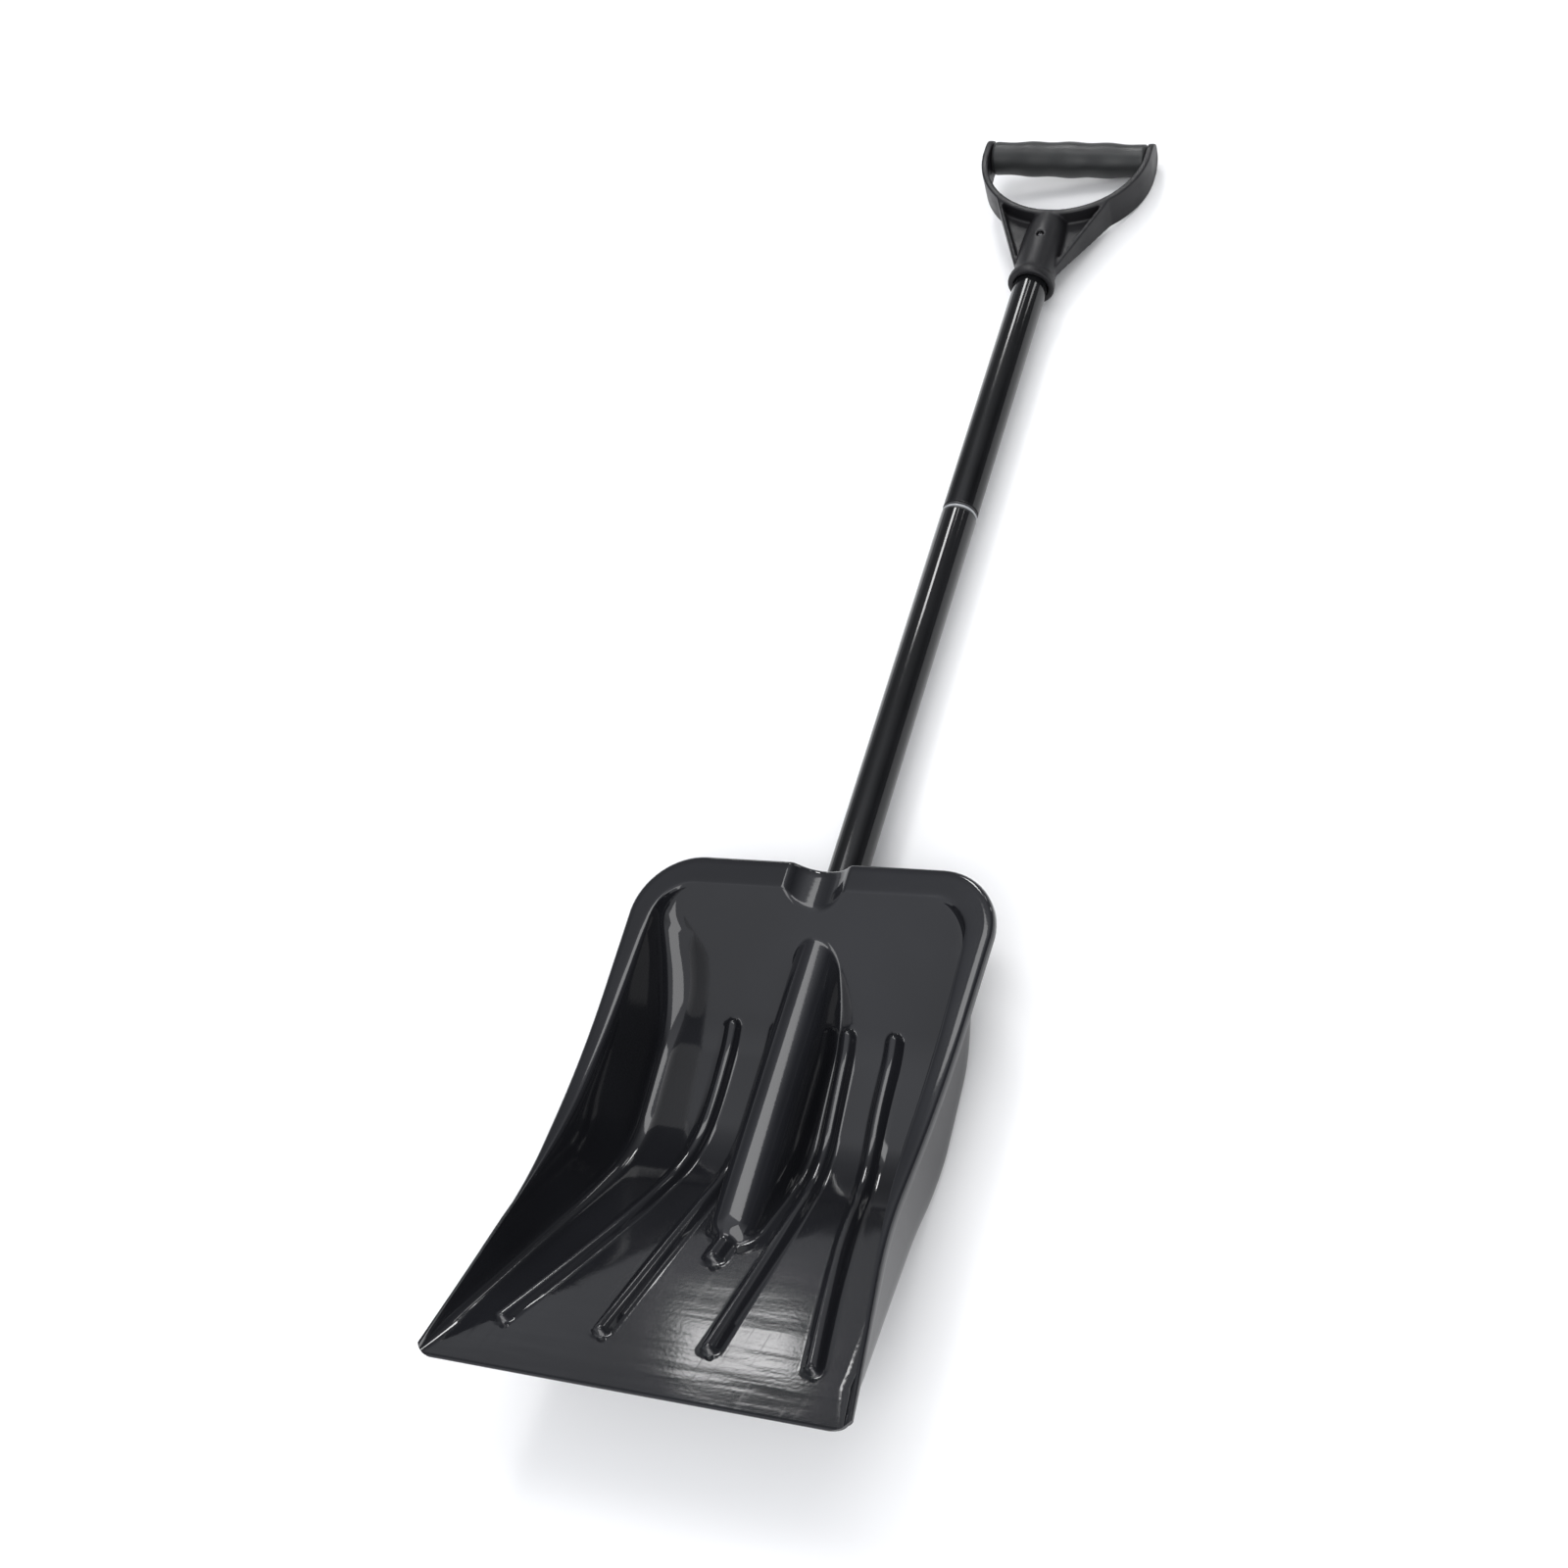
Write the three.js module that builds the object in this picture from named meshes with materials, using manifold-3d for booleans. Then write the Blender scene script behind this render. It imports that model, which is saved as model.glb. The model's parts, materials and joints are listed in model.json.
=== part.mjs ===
// A snow shovel: a moulded scoop, a two-part steel shaft that screws together in the middle, and a D-grip.
// Millimetres. While it is built, +Y runs up the shaft from the scoop's front edge, +X is across
// the scoop and +Z is its open side. The finished group is then set down on the scoop's heel and the grip.
import * as THREE from 'three';
import { mergeVertices } from 'three/addons/utils/BufferGeometryUtils.js';
import Module from 'manifold-3d';

const wasm = await Module();
wasm.setup();

// Shaft
const TUBE_RADIUS = 12.5;
const TUBE_BORE = 11.5;
const GAP = 0.3;
const LOWER_TUBE_START = 124;
const JOINT_HEIGHT = 650;
const WASHER_THICKNESS = 1.8;
const COLLAR_THICKNESS = 1.4;
const UPPER_TUBE_END = 918;

// Screw joint between the two tubes
const THREAD_PITCH = 5;
const THREAD_ROOT = 6.6;
const THREAD_CREST = 8.6;
const THREAD_ROOT_WIDTH = 3;
const THREAD_CREST_WIDTH = 1.2;
const THREAD_CLEARANCE = 0.35;
const THREAD_EMBED = 0.6;
const THREAD_STEPS_PER_TURN = 18;
const SPIGOT_LENGTH = 27;
const SPIGOT_CHAMFER = 1.2;
const INSERT_LENGTH = 36;
const INSERT_RADIUS = TUBE_BORE - GAP;
const COLLAR_RADIUS = TUBE_RADIUS - 0.6;
const FLANGE_THICKNESS = 1.2;
const BORE_RUNOUT = 5;

// Scoop
const WALL = 3;
const EDGE_DEPTH = 70.5;
const FLOOR_SLOPE = 0.5704;
const BACK_SLOPE = 0.0875;
const BACK_LEVEL = -43.8;
const BROW_SLOPE = 0.9325;
const RIM_LEVEL = 36;
const RIM_FALL = 0.17;
const BROW_TOP = 329;
const SCOOP_LENGTH = 349;
const INNER_FRONT = 130;
const INNER_TAPER = 0.16;
const INNER_REAR = 106;
const OUTER_FRONT = 135;
const OUTER_TAPER = 0.165;
const OUTER_REAR = 112;
const OUTER_FLARE = 0.034;
const HEEL_BLEND = 16;
const BROW_BLEND = 24;
const RIM_BLEND = 8;
const INNER_BLEND = 6;
const OUTER_BLEND = 5;
const INNER_CORNER = 25;
const OUTER_CORNER = 42;
const FRONT_CORNER = 13;
const FRONT_REACH = 60;
const WALL_DRAFT = 0.05;
const WALL_FILLET = 9.5;
const LIP_DROP = 7;
const LIP_BEND = 3.2;
const LIP_GROWTH = 90;
const RIB_HALF_WIDTH = 6.2;
const RIB_HEIGHT = 5.5;
const OUTER_RIB = [[55, 258], [56, 200], [66, 135], [81, 83], [97, 35]];
const INNER_RIB = [[24, 258], [27, 193], [30.5, 133], [34, 37]];
const TOE_BEAD = [[0, 132], [0, 99]];
const TOE_HALF_WIDTH = 6;
const TOE_HEIGHT = 6.5;
const GROOVE_LEVEL = 26.5;
const GROOVE_RADIUS = 25;
const GROOVE_START = 290;

// Shaft socket in the scoop
const SOCKET_RADIUS = 15.8;
const SOCKET_BORE = TUBE_RADIUS + GAP;
const SOCKET_MOUTH = 340;
const SOCKET_TOE = 124;
const KEEL_START = 118;
const KEEL_END = 296;
const KEEL_STEPS = 20;
const KEEL_TOP = 6;
const GUSSET_PLACE = 9.5;
const GUSSET_HALF_WIDTH = 1.3;
const GUSSET = [[286, -6], [286, -8], [332, 8], [344, 22], [344, 34], [332, 34], [300, 7]];
const POCKET_COUNT = 4;
const POCKET_HALF_WIDTH = 12.4;
const POCKET_START = 154;
const POCKET_END = 264;
const POCKET_RIB = 2.6;
const SCOOP_SCREWS = [195.3, 249];

// Screws
const SCREW_SHANK = 1.9;
const SCREW_HEAD = 3.6;
const SCREW_HEAD_HEIGHT = 2.2;
const SCREW_REACH = 8.5;
const GRIP_SCREW_SHANK = 1.4;
const GRIP_SCREW_HEAD = 2.3;
const GRIP_SCREW_HEAD_HEIGHT = 1.3;
const GRIP_SCREW_REACH = 5.5;

// D-grip
const GRIP_TWIST = THREE.MathUtils.degToRad(8.5);
const BAR_HEIGHT = 999;
const BAR_CORE = 8;
const SLEEVE_RADIUS = 12.1;
const SLEEVE_CROWN = 1.2;
const SLEEVE_WAVE = 0.4;
const SLEEVE_END_ROUND = 0.8;
const SLEEVE_STEPS = 24;
const YOKE_RADIUS = 60;
const YOKE_STRAP = 4.8;
const YOKE_DEPTH = 26;
const YOKE_CENTRE = 993;
const YOKE_SOCKET = 15.4;
const YOKE_COLLAR = 17.4;
const YOKE_MOUTH = 866;
const YOKE_DOME_END = 931;
const BRACE_WEB = [[10, 886], [15, 887], [41, 943], [39, 946], [10, 933]];
const BRACE_WEB_HALF = 2;
const BRACE_RAIL = [[12.5, 884], [15.5, 882.6], [43.5, 944], [40.5, 945.4]];
const BRACE_TAPER = [[870, -2.5], [944, -12], [950, -12], [950, 12], [944, 12], [870, 2.5]];
const GRIP_SCREW_HEIGHT = 906;
const GRIP_HOLE = 2.6;
const GRIP_PILOT = 1.7;

// How the shovel lies: the shaft slopes down towards the grip by this much
const REST_TILT = THREE.MathUtils.degToRad(0.478);

const ROUND = 32;

// How far cutting tools and filling blocks reach past what they cut or fill
const BEYOND = 60;

const plastic = new THREE.MeshStandardMaterial({ color: 0x1b1c20, roughness: 0.22, metalness: 0 });
const enamel = new THREE.MeshStandardMaterial({ color: 0x0a0b0b, roughness: 0.16, metalness: 0.2 });
const gripPlastic = new THREE.MeshStandardMaterial({ color: 0x2a2a2d, roughness: 0.55, metalness: 0 });
const softRubber = new THREE.MeshStandardMaterial({ color: 0x2b2e2f, roughness: 0.6, metalness: 0 });
const nylon = new THREE.MeshStandardMaterial({ color: 0x6b6e70, roughness: 0.4, metalness: 0 });
const insertPlastic = new THREE.MeshStandardMaterial({ color: 0x1d1d1f, roughness: 0.5, metalness: 0 });
const steel = new THREE.MeshStandardMaterial({ color: 0x3a3b3d, roughness: 0.35, metalness: 0.9 });

// ---- Solids -------------------------------------------------------------------------------------

function solid(geometry) {
  const bare = geometry.index ? geometry.clone() : geometry;
  bare.deleteAttribute('normal');
  bare.deleteAttribute('uv');
  const merged = mergeVertices(bare, 1e-4);
  const vertProperties = new Float32Array(merged.attributes.position.array);
  const triVerts = new Uint32Array(merged.index.array);
  return new wasm.Manifold(new wasm.Mesh({ numProp: 3, vertProperties, triVerts }));
}

function geometryOf(body) {
  const mesh = body.getMesh();
  const geometry = new THREE.BufferGeometry();
  const positions = new Float32Array(mesh.vertProperties);
  geometry.setAttribute('position', new THREE.BufferAttribute(positions, 3));
  geometry.setIndex(new THREE.BufferAttribute(new Uint32Array(mesh.triVerts), 1));
  return geometry;
}

function union(bodies) {
  return bodies.reduce((all, body) => all.add(body));
}

function lathe(profile, segments = ROUND) {
  const points = profile.map(([radius, height]) => new THREE.Vector2(radius, height));
  return new THREE.LatheGeometry(points, segments);
}

// A lathed solid whose profile starts and ends on the axis.
function rod(radius, start, end, segments = ROUND) {
  return lathe([[0, start], [radius, start], [radius, end], [0, end]], segments);
}

function ring(inner, outer, start, end, segments = ROUND) {
  return lathe([[inner, start], [outer, start], [outer, end], [inner, end], [inner, start]], segments);
}

function box(low, high) {
  const size = high.map((value, i) => value - low[i]);
  const geometry = new THREE.BoxGeometry(...size);
  return geometry.translate(...high.map((value, i) => (value + low[i]) / 2));
}

// An outline in the Y-Z plane, given a half-width to either side of the middle plane.
function slab(outline, halfWidth) {
  const shape = new THREE.Shape(outline.map(([y, z]) => new THREE.Vector2(y, z)));
  const geometry = new THREE.ExtrudeGeometry(shape, { depth: 2 * halfWidth, bevelEnabled: false });
  const axes = new THREE.Matrix4().makeBasis(
    new THREE.Vector3(0, 1, 0),
    new THREE.Vector3(0, 0, 1),
    new THREE.Vector3(1, 0, 0),
  );
  return geometry.applyMatrix4(axes).translate(-halfWidth, 0, 0);
}

// A flat plate in the X-Y plane.
function plate(outline, low, high) {
  const shape = new THREE.Shape(outline.map(([x, y]) => new THREE.Vector2(x, y)));
  const geometry = new THREE.ExtrudeGeometry(shape, { depth: high - low, bevelEnabled: false });
  return geometry.translate(0, 0, low);
}

function indexed(points, triangles) {
  const geometry = new THREE.BufferGeometry();
  geometry.setAttribute('position', new THREE.Float32BufferAttribute(points.flat(), 3));
  geometry.setIndex(triangles.flat());
  return geometry;
}

// Joins cross-sections, each a closed loop of the same number of points, and closes both ends.
function loft(sections) {
  const count = sections[0].length;
  const triangles = [];
  for (let s = 0; s + 1 < sections.length; s += 1) {
    for (let i = 0; i < count; i += 1) {
      const a = s * count + i;
      const b = s * count + ((i + 1) % count);
      triangles.push([a, b, b + count], [a, b + count, a + count]);
    }
  }
  const last = (sections.length - 1) * count;
  for (let i = 1; i + 1 < count; i += 1) {
    triangles.push([0, i + 1, i], [last, last + i, last + i + 1]);
  }
  return indexed(sections.flat(), triangles);
}

// ---- Scoop --------------------------------------------------------------------------------------

// The larger of two values. Where they differ by less than the blend, the crease is rounded off.
function softMax(a, b, blend) {
  const near = Math.max(0, blend - Math.abs(a - b));
  return Math.max(a, b) + near ** 2 / (4 * blend);
}

// Height of the scoop's inner face on its middle line: floor, back and brow.
function panelLevel(y) {
  const floor = EDGE_DEPTH - FLOOR_SLOPE * y;
  const back = BACK_LEVEL + BACK_SLOPE * y;
  const brow = RIM_LEVEL - BROW_SLOPE * (BROW_TOP - y);
  return softMax(softMax(floor, back, HEEL_BLEND), brow, BROW_BLEND);
}

function rimLevel(y) {
  return softMax(EDGE_DEPTH - RIM_FALL * y, RIM_LEVEL, RIM_BLEND);
}

function innerHalfWidth(y) {
  return softMax(INNER_FRONT - INNER_TAPER * y, INNER_REAR, INNER_BLEND);
}

function outerHalfWidth(y) {
  return softMax(OUTER_FRONT - OUTER_TAPER * y, OUTER_REAR + OUTER_FLARE * y, OUTER_BLEND);
}

const SIDE_STEPS = 12;
const CORNER_STEPS = 4;
const TOP_STEPS = 5;
const HALF_STEPS = SIDE_STEPS + CORNER_STEPS + TOP_STEPS;
const GRID_CORNER = SIDE_STEPS + CORNER_STEPS / 2;

// A point on one of the rim's outlines, counted from the front corner up to the middle of the brow.
function outlinePoint(step, halfWidth, top, corner) {
  const straight = top - corner;
  const centreX = halfWidth(straight) - corner;
  if (step <= SIDE_STEPS) {
    const y = (straight * step) / SIDE_STEPS;
    return { x: halfWidth(y), y, inX: -1, inY: 0 };
  }
  if (step <= SIDE_STEPS + CORNER_STEPS) {
    const angle = ((step - SIDE_STEPS) / CORNER_STEPS) * (Math.PI / 2);
    const inX = -Math.cos(angle);
    const inY = -Math.sin(angle);
    return { x: centreX - corner * inX, y: straight - corner * inY, inX, inY };
  }
  const along = (step - SIDE_STEPS - CORNER_STEPS) / TOP_STEPS;
  return { x: centreX * (1 - along), y: top, inX: 0, inY: -1 };
}

// The front corners are rounded: points near them move back along the side.
function roundFront(x, y) {
  const reach = Math.abs(x) - (outerHalfWidth(0) - FRONT_CORNER);
  if (reach <= 0) {
    return y;
  }
  const setback = FRONT_CORNER - Math.sqrt(Math.max(0, FRONT_CORNER ** 2 - reach ** 2));
  return y + setback * Math.max(0, 1 - y / FRONT_REACH);
}

// One column of the sheet: from the lip's lower edge over the band and down the wall to the panel.
function rimColumn(step) {
  const inner = outlinePoint(step, innerHalfWidth, BROW_TOP, INNER_CORNER);
  const outer = outlinePoint(step, outerHalfWidth, SCOOP_LENGTH, OUTER_CORNER);
  const fade = 0.15 + 0.85 * Math.min(1, outer.y / LIP_GROWTH);
  const column = [];
  const add = (from, inset, level) => {
    const x = from.x + from.inX * inset;
    const y = roundFront(x, from.y + from.inY * inset);
    column.push([x, y, level(y)]);
  };
  add(outer, 0, (y) => rimLevel(y) - LIP_DROP * fade);
  add(outer, 0, (y) => rimLevel(y) - LIP_BEND * fade);
  add(outer, 0.3 * LIP_BEND, (y) => rimLevel(y) - 0.3 * LIP_BEND * fade);
  add(outer, LIP_BEND, rimLevel);
  const height = Math.max(0, rimLevel(inner.y) - panelLevel(inner.y));
  const fillet = Math.min(WALL_FILLET, 0.8 * height);
  const foot = WALL_DRAFT * height;
  const filletTop = WALL_DRAFT * (height - fillet);
  [0, 0.35, 1].forEach((t, i) => {
    const rise = height - (height - fillet) * t;
    add(inner, filletTop * t + 0.4 * i, (y) => panelLevel(y) + rise);
  });
  [0.3, 0.6, 1].forEach((t) => {
    const inset = filletTop * (1 - t) ** 2 + 2 * t * (1 - t) * foot + t ** 2 * (foot + fillet + 2) + 0.8;
    add(inner, inset, (y) => panelLevel(y) + fillet * (1 - t) ** 2);
  });
  return column;
}

// The scoop's upper face as a sheet of quads: columns round the rim, and a grid on the panel inside.
function scoopSheet() {
  const points = [];
  const quads = [];
  const columns = [];
  for (let step = 0; step <= 2 * HALF_STEPS; step += 1) {
    const mirrored = step > HALF_STEPS;
    const column = rimColumn(mirrored ? 2 * HALF_STEPS - step : step);
    columns.push(column.map(([x, y, z]) => points.push([mirrored ? -x : x, y, z]) - 1));
  }
  const rows = columns[0].length;
  for (let c = 0; c + 1 < columns.length; c += 1) {
    for (let r = 0; r + 1 < rows; r += 1) {
      quads.push([columns[c][r], columns[c + 1][r], columns[c + 1][r + 1], columns[c][r + 1]]);
    }
  }
  const edge = columns.map((column) => column[rows - 1]);
  const across = edge.length - 1 - 2 * GRID_CORNER;
  const grid = [];
  for (let v = 0; v <= GRID_CORNER; v += 1) {
    const right = edge[v];
    const left = edge[edge.length - 1 - v];
    const row = [right];
    for (let u = 1; u < across; u += 1) {
      const along = () => panelPoint(points, edge, u / across, v, right, left);
      row.push(v === GRID_CORNER ? edge[GRID_CORNER + u] : along());
    }
    row.push(left);
    grid.push(row);
  }
  for (let v = 0; v < GRID_CORNER; v += 1) {
    for (let u = 0; u < across; u += 1) {
      quads.push([grid[v][u], grid[v + 1][u], grid[v + 1][u + 1], grid[v][u + 1]]);
    }
  }
  return { points, quads };
}

// A panel point: the sides' straight line, pushed towards the shape of the top edge as it nears it.
function panelPoint(points, edge, u, v, right, left) {
  const along = v / GRID_CORNER;
  const mix = (i, a, b) => points[a][i] * (1 - u) + points[b][i] * u;
  const corner = edge[GRID_CORNER];
  const opposite = edge[edge.length - 1 - GRID_CORNER];
  const topIndex = GRID_CORNER + u * (edge.length - 1 - 2 * GRID_CORNER);
  const top = points[edge[Math.round(topIndex)]];
  const x = mix(0, right, left) + along ** 3 * (top[0] - mix(0, corner, opposite));
  const y = mix(1, right, left) + along ** 3 * (top[1] - mix(1, corner, opposite));
  return points.push([x, y, panelLevel(y)]) - 1;
}

// Gives a sheet a thickness below its face and closes its edge.
function thicken({ points, quads }, thickness) {
  const vectors = points.map((p) => new THREE.Vector3(...p));
  const normals = points.map(() => new THREE.Vector3());
  const faces = quads.map((quad) => {
    const [a, b, c, d] = quad.map((i) => vectors[i]);
    return new THREE.Vector3().crossVectors(c.clone().sub(a), d.clone().sub(b)).normalize();
  });
  quads.forEach((quad, f) => quad.forEach((i) => normals[i].add(faces[f])));
  normals.forEach((normal) => normal.normalize());
  const shares = points.map(() => []);
  quads.forEach((quad, f) => quad.forEach((i) => shares[i].push(normals[i].dot(faces[f]))));
  const count = points.length;
  const under = vectors.map((point, i) => {
    const mitre = Math.max(0.7, Math.min(...shares[i]));
    return point.clone().addScaledVector(normals[i], -thickness / mitre).toArray();
  });
  const triangles = [];
  const open = new Map();
  quads.forEach(([a, b, c, d]) => {
    triangles.push([a, b, c], [a, c, d]);
    triangles.push([a + count, c + count, b + count], [a + count, d + count, c + count]);
    [[a, b], [b, c], [c, d], [d, a]].forEach(([from, to]) => {
      if (!open.delete(`${to},${from}`)) {
        open.set(`${from},${to}`, [from, to]);
      }
    });
  });
  open.forEach(([from, to]) => {
    triangles.push([to, from, from + count], [to, from + count, to + count]);
  });
  return indexed([...points, ...under], triangles);
}

// A rounded bead standing on the panel along a curve in plan, low at both ends.
function bead(path, halfWidth, height, stations = 16) {
  const curve = new THREE.CatmullRomCurve3(path.map(([x, y]) => new THREE.Vector3(x, y, 0)));
  const sections = [];
  for (let s = 0; s <= stations; s += 1) {
    const t = s / stations;
    const { x, y } = curve.getPointAt(t);
    const heading = curve.getTangentAt(t);
    const slope = (panelLevel(y + 1) - panelLevel(y - 1)) / 2;
    const forward = new THREE.Vector3(heading.x, heading.y, heading.y * slope).normalize();
    const up = new THREE.Vector3(0, -slope, 1).normalize();
    const side = new THREE.Vector3().crossVectors(forward, up).normalize();
    const ends = Math.sqrt(Math.min(1, 0.12 + (10 * Math.min(t, 1 - t)) ** 2));
    const section = [[-1, -0.35], [-1, 0.1], [-0.7, 0.75], [0, 1], [0.7, 0.75], [1, 0.1], [1, -0.35]];
    sections.push(section.map(([across, rise]) => new THREE.Vector3(x, y, panelLevel(y))
      .addScaledVector(side, across * halfWidth * (0.5 + 0.5 * ends))
      .addScaledVector(up, rise > 0 ? rise * height * ends : rise * WALL)
      .toArray()));
  }
  return loft(sections);
}

function mirror(path) {
  return path.map(([x, y]) => [-x, y]);
}

// The walls that carry the round socket on the panel, seen from the side.
function socketKeel() {
  const outline = [];
  for (let i = 0; i <= KEEL_STEPS; i += 1) {
    const y = KEEL_START + ((KEEL_END - KEEL_START) * i) / KEEL_STEPS;
    outline.push([y, panelLevel(y) - 0.5 * WALL]);
  }
  outline.push([KEEL_END, KEEL_TOP], [KEEL_START, KEEL_TOP]);
  return outline;
}

// The round nose at the socket's toe, kept above the panel's underside.
function socketNose() {
  const nose = solid(new THREE.SphereGeometry(SOCKET_RADIUS, ROUND, 16).translate(0, SOCKET_TOE, 0));
  const under = (y) => EDGE_DEPTH - FLOOR_SLOPE * y;
  const start = SOCKET_TOE - BEYOND;
  const end = SOCKET_TOE + BEYOND;
  const room = [[start, EDGE_DEPTH], [start, under(start)], [end, under(end)], [end, EDGE_DEPTH]];
  return nose.intersect(solid(slab(room, 2 * SOCKET_RADIUS)));
}

function scoopBody() {
  const sheet = solid(thicken(scoopSheet(), WALL));
  const ribs = [OUTER_RIB, INNER_RIB, mirror(OUTER_RIB), mirror(INNER_RIB)].map(
    (path) => solid(bead(path, RIB_HALF_WIDTH, RIB_HEIGHT)),
  );
  const toe = solid(bead(TOE_BEAD, TOE_HALF_WIDTH, TOE_HEIGHT, 8));
  const tunnel = solid(rod(SOCKET_RADIUS, SOCKET_TOE, SOCKET_MOUTH));
  const keel = solid(slab(socketKeel(), SOCKET_RADIUS));
  const gussets = [-GUSSET_PLACE, GUSSET_PLACE].map(
    (x) => solid(slab(GUSSET, GUSSET_HALF_WIDTH).translate(x, 0, 0)),
  );
  return union([sheet, ...ribs, toe, tunnel, socketNose(), keel, ...gussets]);
}

// The shallow round groove through the middle of the rim, above the shaft, as a bar of the given radius.
function grooveBar(radius, start, end) {
  const bar = new THREE.CylinderGeometry(radius, radius, end - start, 64);
  return solid(bar.translate(0, (start + end) / 2, GROOVE_LEVEL + GROOVE_RADIUS));
}

// The sheet under the groove, kept behind the brow's face and inside the rim.
function grooveSkin() {
  const browAt = (z) => BROW_TOP - (RIM_LEVEL - z) / BROW_SLOPE + 1;
  const low = GROOVE_LEVEL - WALL - 1;
  const high = RIM_LEVEL - 0.5;
  const end = SCOOP_LENGTH - 1;
  const room = slab([[browAt(low), low], [browAt(high), high], [end, high], [end, low]], GROOVE_RADIUS);
  return grooveBar(GROOVE_RADIUS + WALL, GROOVE_START, SCOOP_LENGTH).intersect(solid(room));
}

function makeScoop() {
  const bore = solid(rod(SOCKET_BORE, SOCKET_TOE - 1, SCOOP_LENGTH + BEYOND));
  const pitch = (POCKET_END - POCKET_START + POCKET_RIB) / POCKET_COUNT;
  const pockets = Array.from({ length: POCKET_COUNT }, (_, i) => {
    const start = POCKET_START + i * pitch;
    const low = [-POCKET_HALF_WIDTH, start, -BEYOND];
    return solid(box(low, [POCKET_HALF_WIDTH, start + pitch - POCKET_RIB, -SOCKET_RADIUS]));
  });
  const groove = grooveBar(GROOVE_RADIUS, GROOVE_START, SCOOP_LENGTH + 5);
  const shaped = scoopBody().add(grooveSkin()).subtract(groove);
  const cuts = [bore, ...pockets, ...scoopScrewHoles()];
  return geometryOf(cuts.reduce((body, cut) => body.subtract(cut), shaped));
}

// ---- Shaft --------------------------------------------------------------------------------------

// A hole from the shaft's middle out of its front (side 1) or its back (side -1).
function screwHole(y, radius, side) {
  return solid(rod(radius, 0, 2 * TUBE_RADIUS, 16).rotateX((side * Math.PI) / 2).translate(0, y, 0));
}

function scoopScrewHoles() {
  return SCOOP_SCREWS.map((y) => screwHole(y, SCREW_SHANK + GAP, -1));
}

function makeTube(start, end, holes) {
  const chamfer = 0.4;
  const tube = solid(lathe([
    [TUBE_BORE, start],
    [TUBE_RADIUS - chamfer, start],
    [TUBE_RADIUS, start + chamfer],
    [TUBE_RADIUS, end - chamfer],
    [TUBE_RADIUS - chamfer, end],
    [TUBE_BORE, end],
    [TUBE_BORE, start],
  ], 40));
  return geometryOf(holes.reduce((body, hole) => body.subtract(hole), tube));
}

// A right-handed helical ridge round the Y axis.
function helixRidge(root, crest, rootWidth, crestWidth, start, turns) {
  const sections = [];
  const steps = Math.round(turns * THREAD_STEPS_PER_TURN);
  for (let s = 0; s <= steps; s += 1) {
    const angle = (s / THREAD_STEPS_PER_TURN) * 2 * Math.PI;
    const y = start + (s / THREAD_STEPS_PER_TURN) * THREAD_PITCH;
    const outline = [[root, rootWidth], [crest, crestWidth], [crest, -crestWidth], [root, -rootWidth]];
    sections.push(outline.map(([r, w]) => [r * Math.sin(angle), y + w / 2, r * Math.cos(angle)]));
  }
  return loft(sections);
}

const SPIGOT_TIP = JOINT_HEIGHT + WASHER_THICKNESS + GAP - SPIGOT_LENGTH;
const THREAD_START = SPIGOT_TIP + 2.6;
const THREAD_TURNS = 4.2;

function makeThreadPlug() {
  const face = JOINT_HEIGHT + WASHER_THICKNESS + 2 * GAP;
  const top = face + COLLAR_THICKNESS;
  const core = solid(lathe([
    [0, SPIGOT_TIP],
    [THREAD_ROOT - SPIGOT_CHAMFER, SPIGOT_TIP],
    [THREAD_ROOT, SPIGOT_TIP + SPIGOT_CHAMFER],
    [THREAD_ROOT, face],
    [COLLAR_RADIUS, face],
    [COLLAR_RADIUS, top],
    [INSERT_RADIUS, top],
    [INSERT_RADIUS, top + INSERT_LENGTH],
    [0, top + INSERT_LENGTH],
  ]));
  const ridge = helixRidge(
    THREAD_ROOT - THREAD_EMBED,
    THREAD_CREST,
    THREAD_ROOT_WIDTH,
    THREAD_CREST_WIDTH,
    THREAD_START,
    THREAD_TURNS,
  );
  return geometryOf(core.add(solid(ridge)));
}

function makeThreadSocket() {
  const bottom = JOINT_HEIGHT - INSERT_LENGTH;
  const mouth = JOINT_HEIGHT - GAP;
  const body = solid(lathe([
    [0, bottom],
    [INSERT_RADIUS, bottom],
    [INSERT_RADIUS, mouth - FLANGE_THICKNESS],
    [COLLAR_RADIUS, mouth - FLANGE_THICKNESS],
    [COLLAR_RADIUS, mouth],
    [0, mouth],
  ]));
  const bore = solid(rod(THREAD_ROOT + THREAD_CLEARANCE, SPIGOT_TIP - BORE_RUNOUT, mouth + 1));
  const groove = helixRidge(
    THREAD_ROOT - THREAD_EMBED,
    THREAD_CREST + THREAD_CLEARANCE,
    THREAD_ROOT_WIDTH + 2 * THREAD_CLEARANCE,
    THREAD_CREST_WIDTH + 2 * THREAD_CLEARANCE,
    THREAD_START - THREAD_PITCH,
    THREAD_TURNS + 2.8,
  );
  return geometryOf(body.subtract(bore).subtract(solid(groove)));
}

function makeWasher() {
  return ring(THREAD_CREST + 0.6, TUBE_RADIUS - 0.35, JOINT_HEIGHT, JOINT_HEIGHT + WASHER_THICKNESS, 40);
}

// A pan-head screw along +Y, its head's seat at the origin and its tip below.
function panScrew(shank, head, headHeight, reach) {
  return lathe([
    [0, -reach],
    [shank * 0.4, -reach + 0.6],
    [shank, -reach + 2.4],
    [shank, 0],
    [head, 0],
    [head, headHeight * 0.45],
    [head * 0.62, headHeight],
    [0, headHeight],
  ], 20);
}

// ---- Grip ---------------------------------------------------------------------------------------

// A rod across the shovel at the height of the bar.
function crossBar(radius, halfLength, segments) {
  const bar = rod(radius, -halfLength, halfLength, segments).rotateZ(Math.PI / 2);
  return solid(bar.translate(0, BAR_HEIGHT, 0));
}

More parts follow.
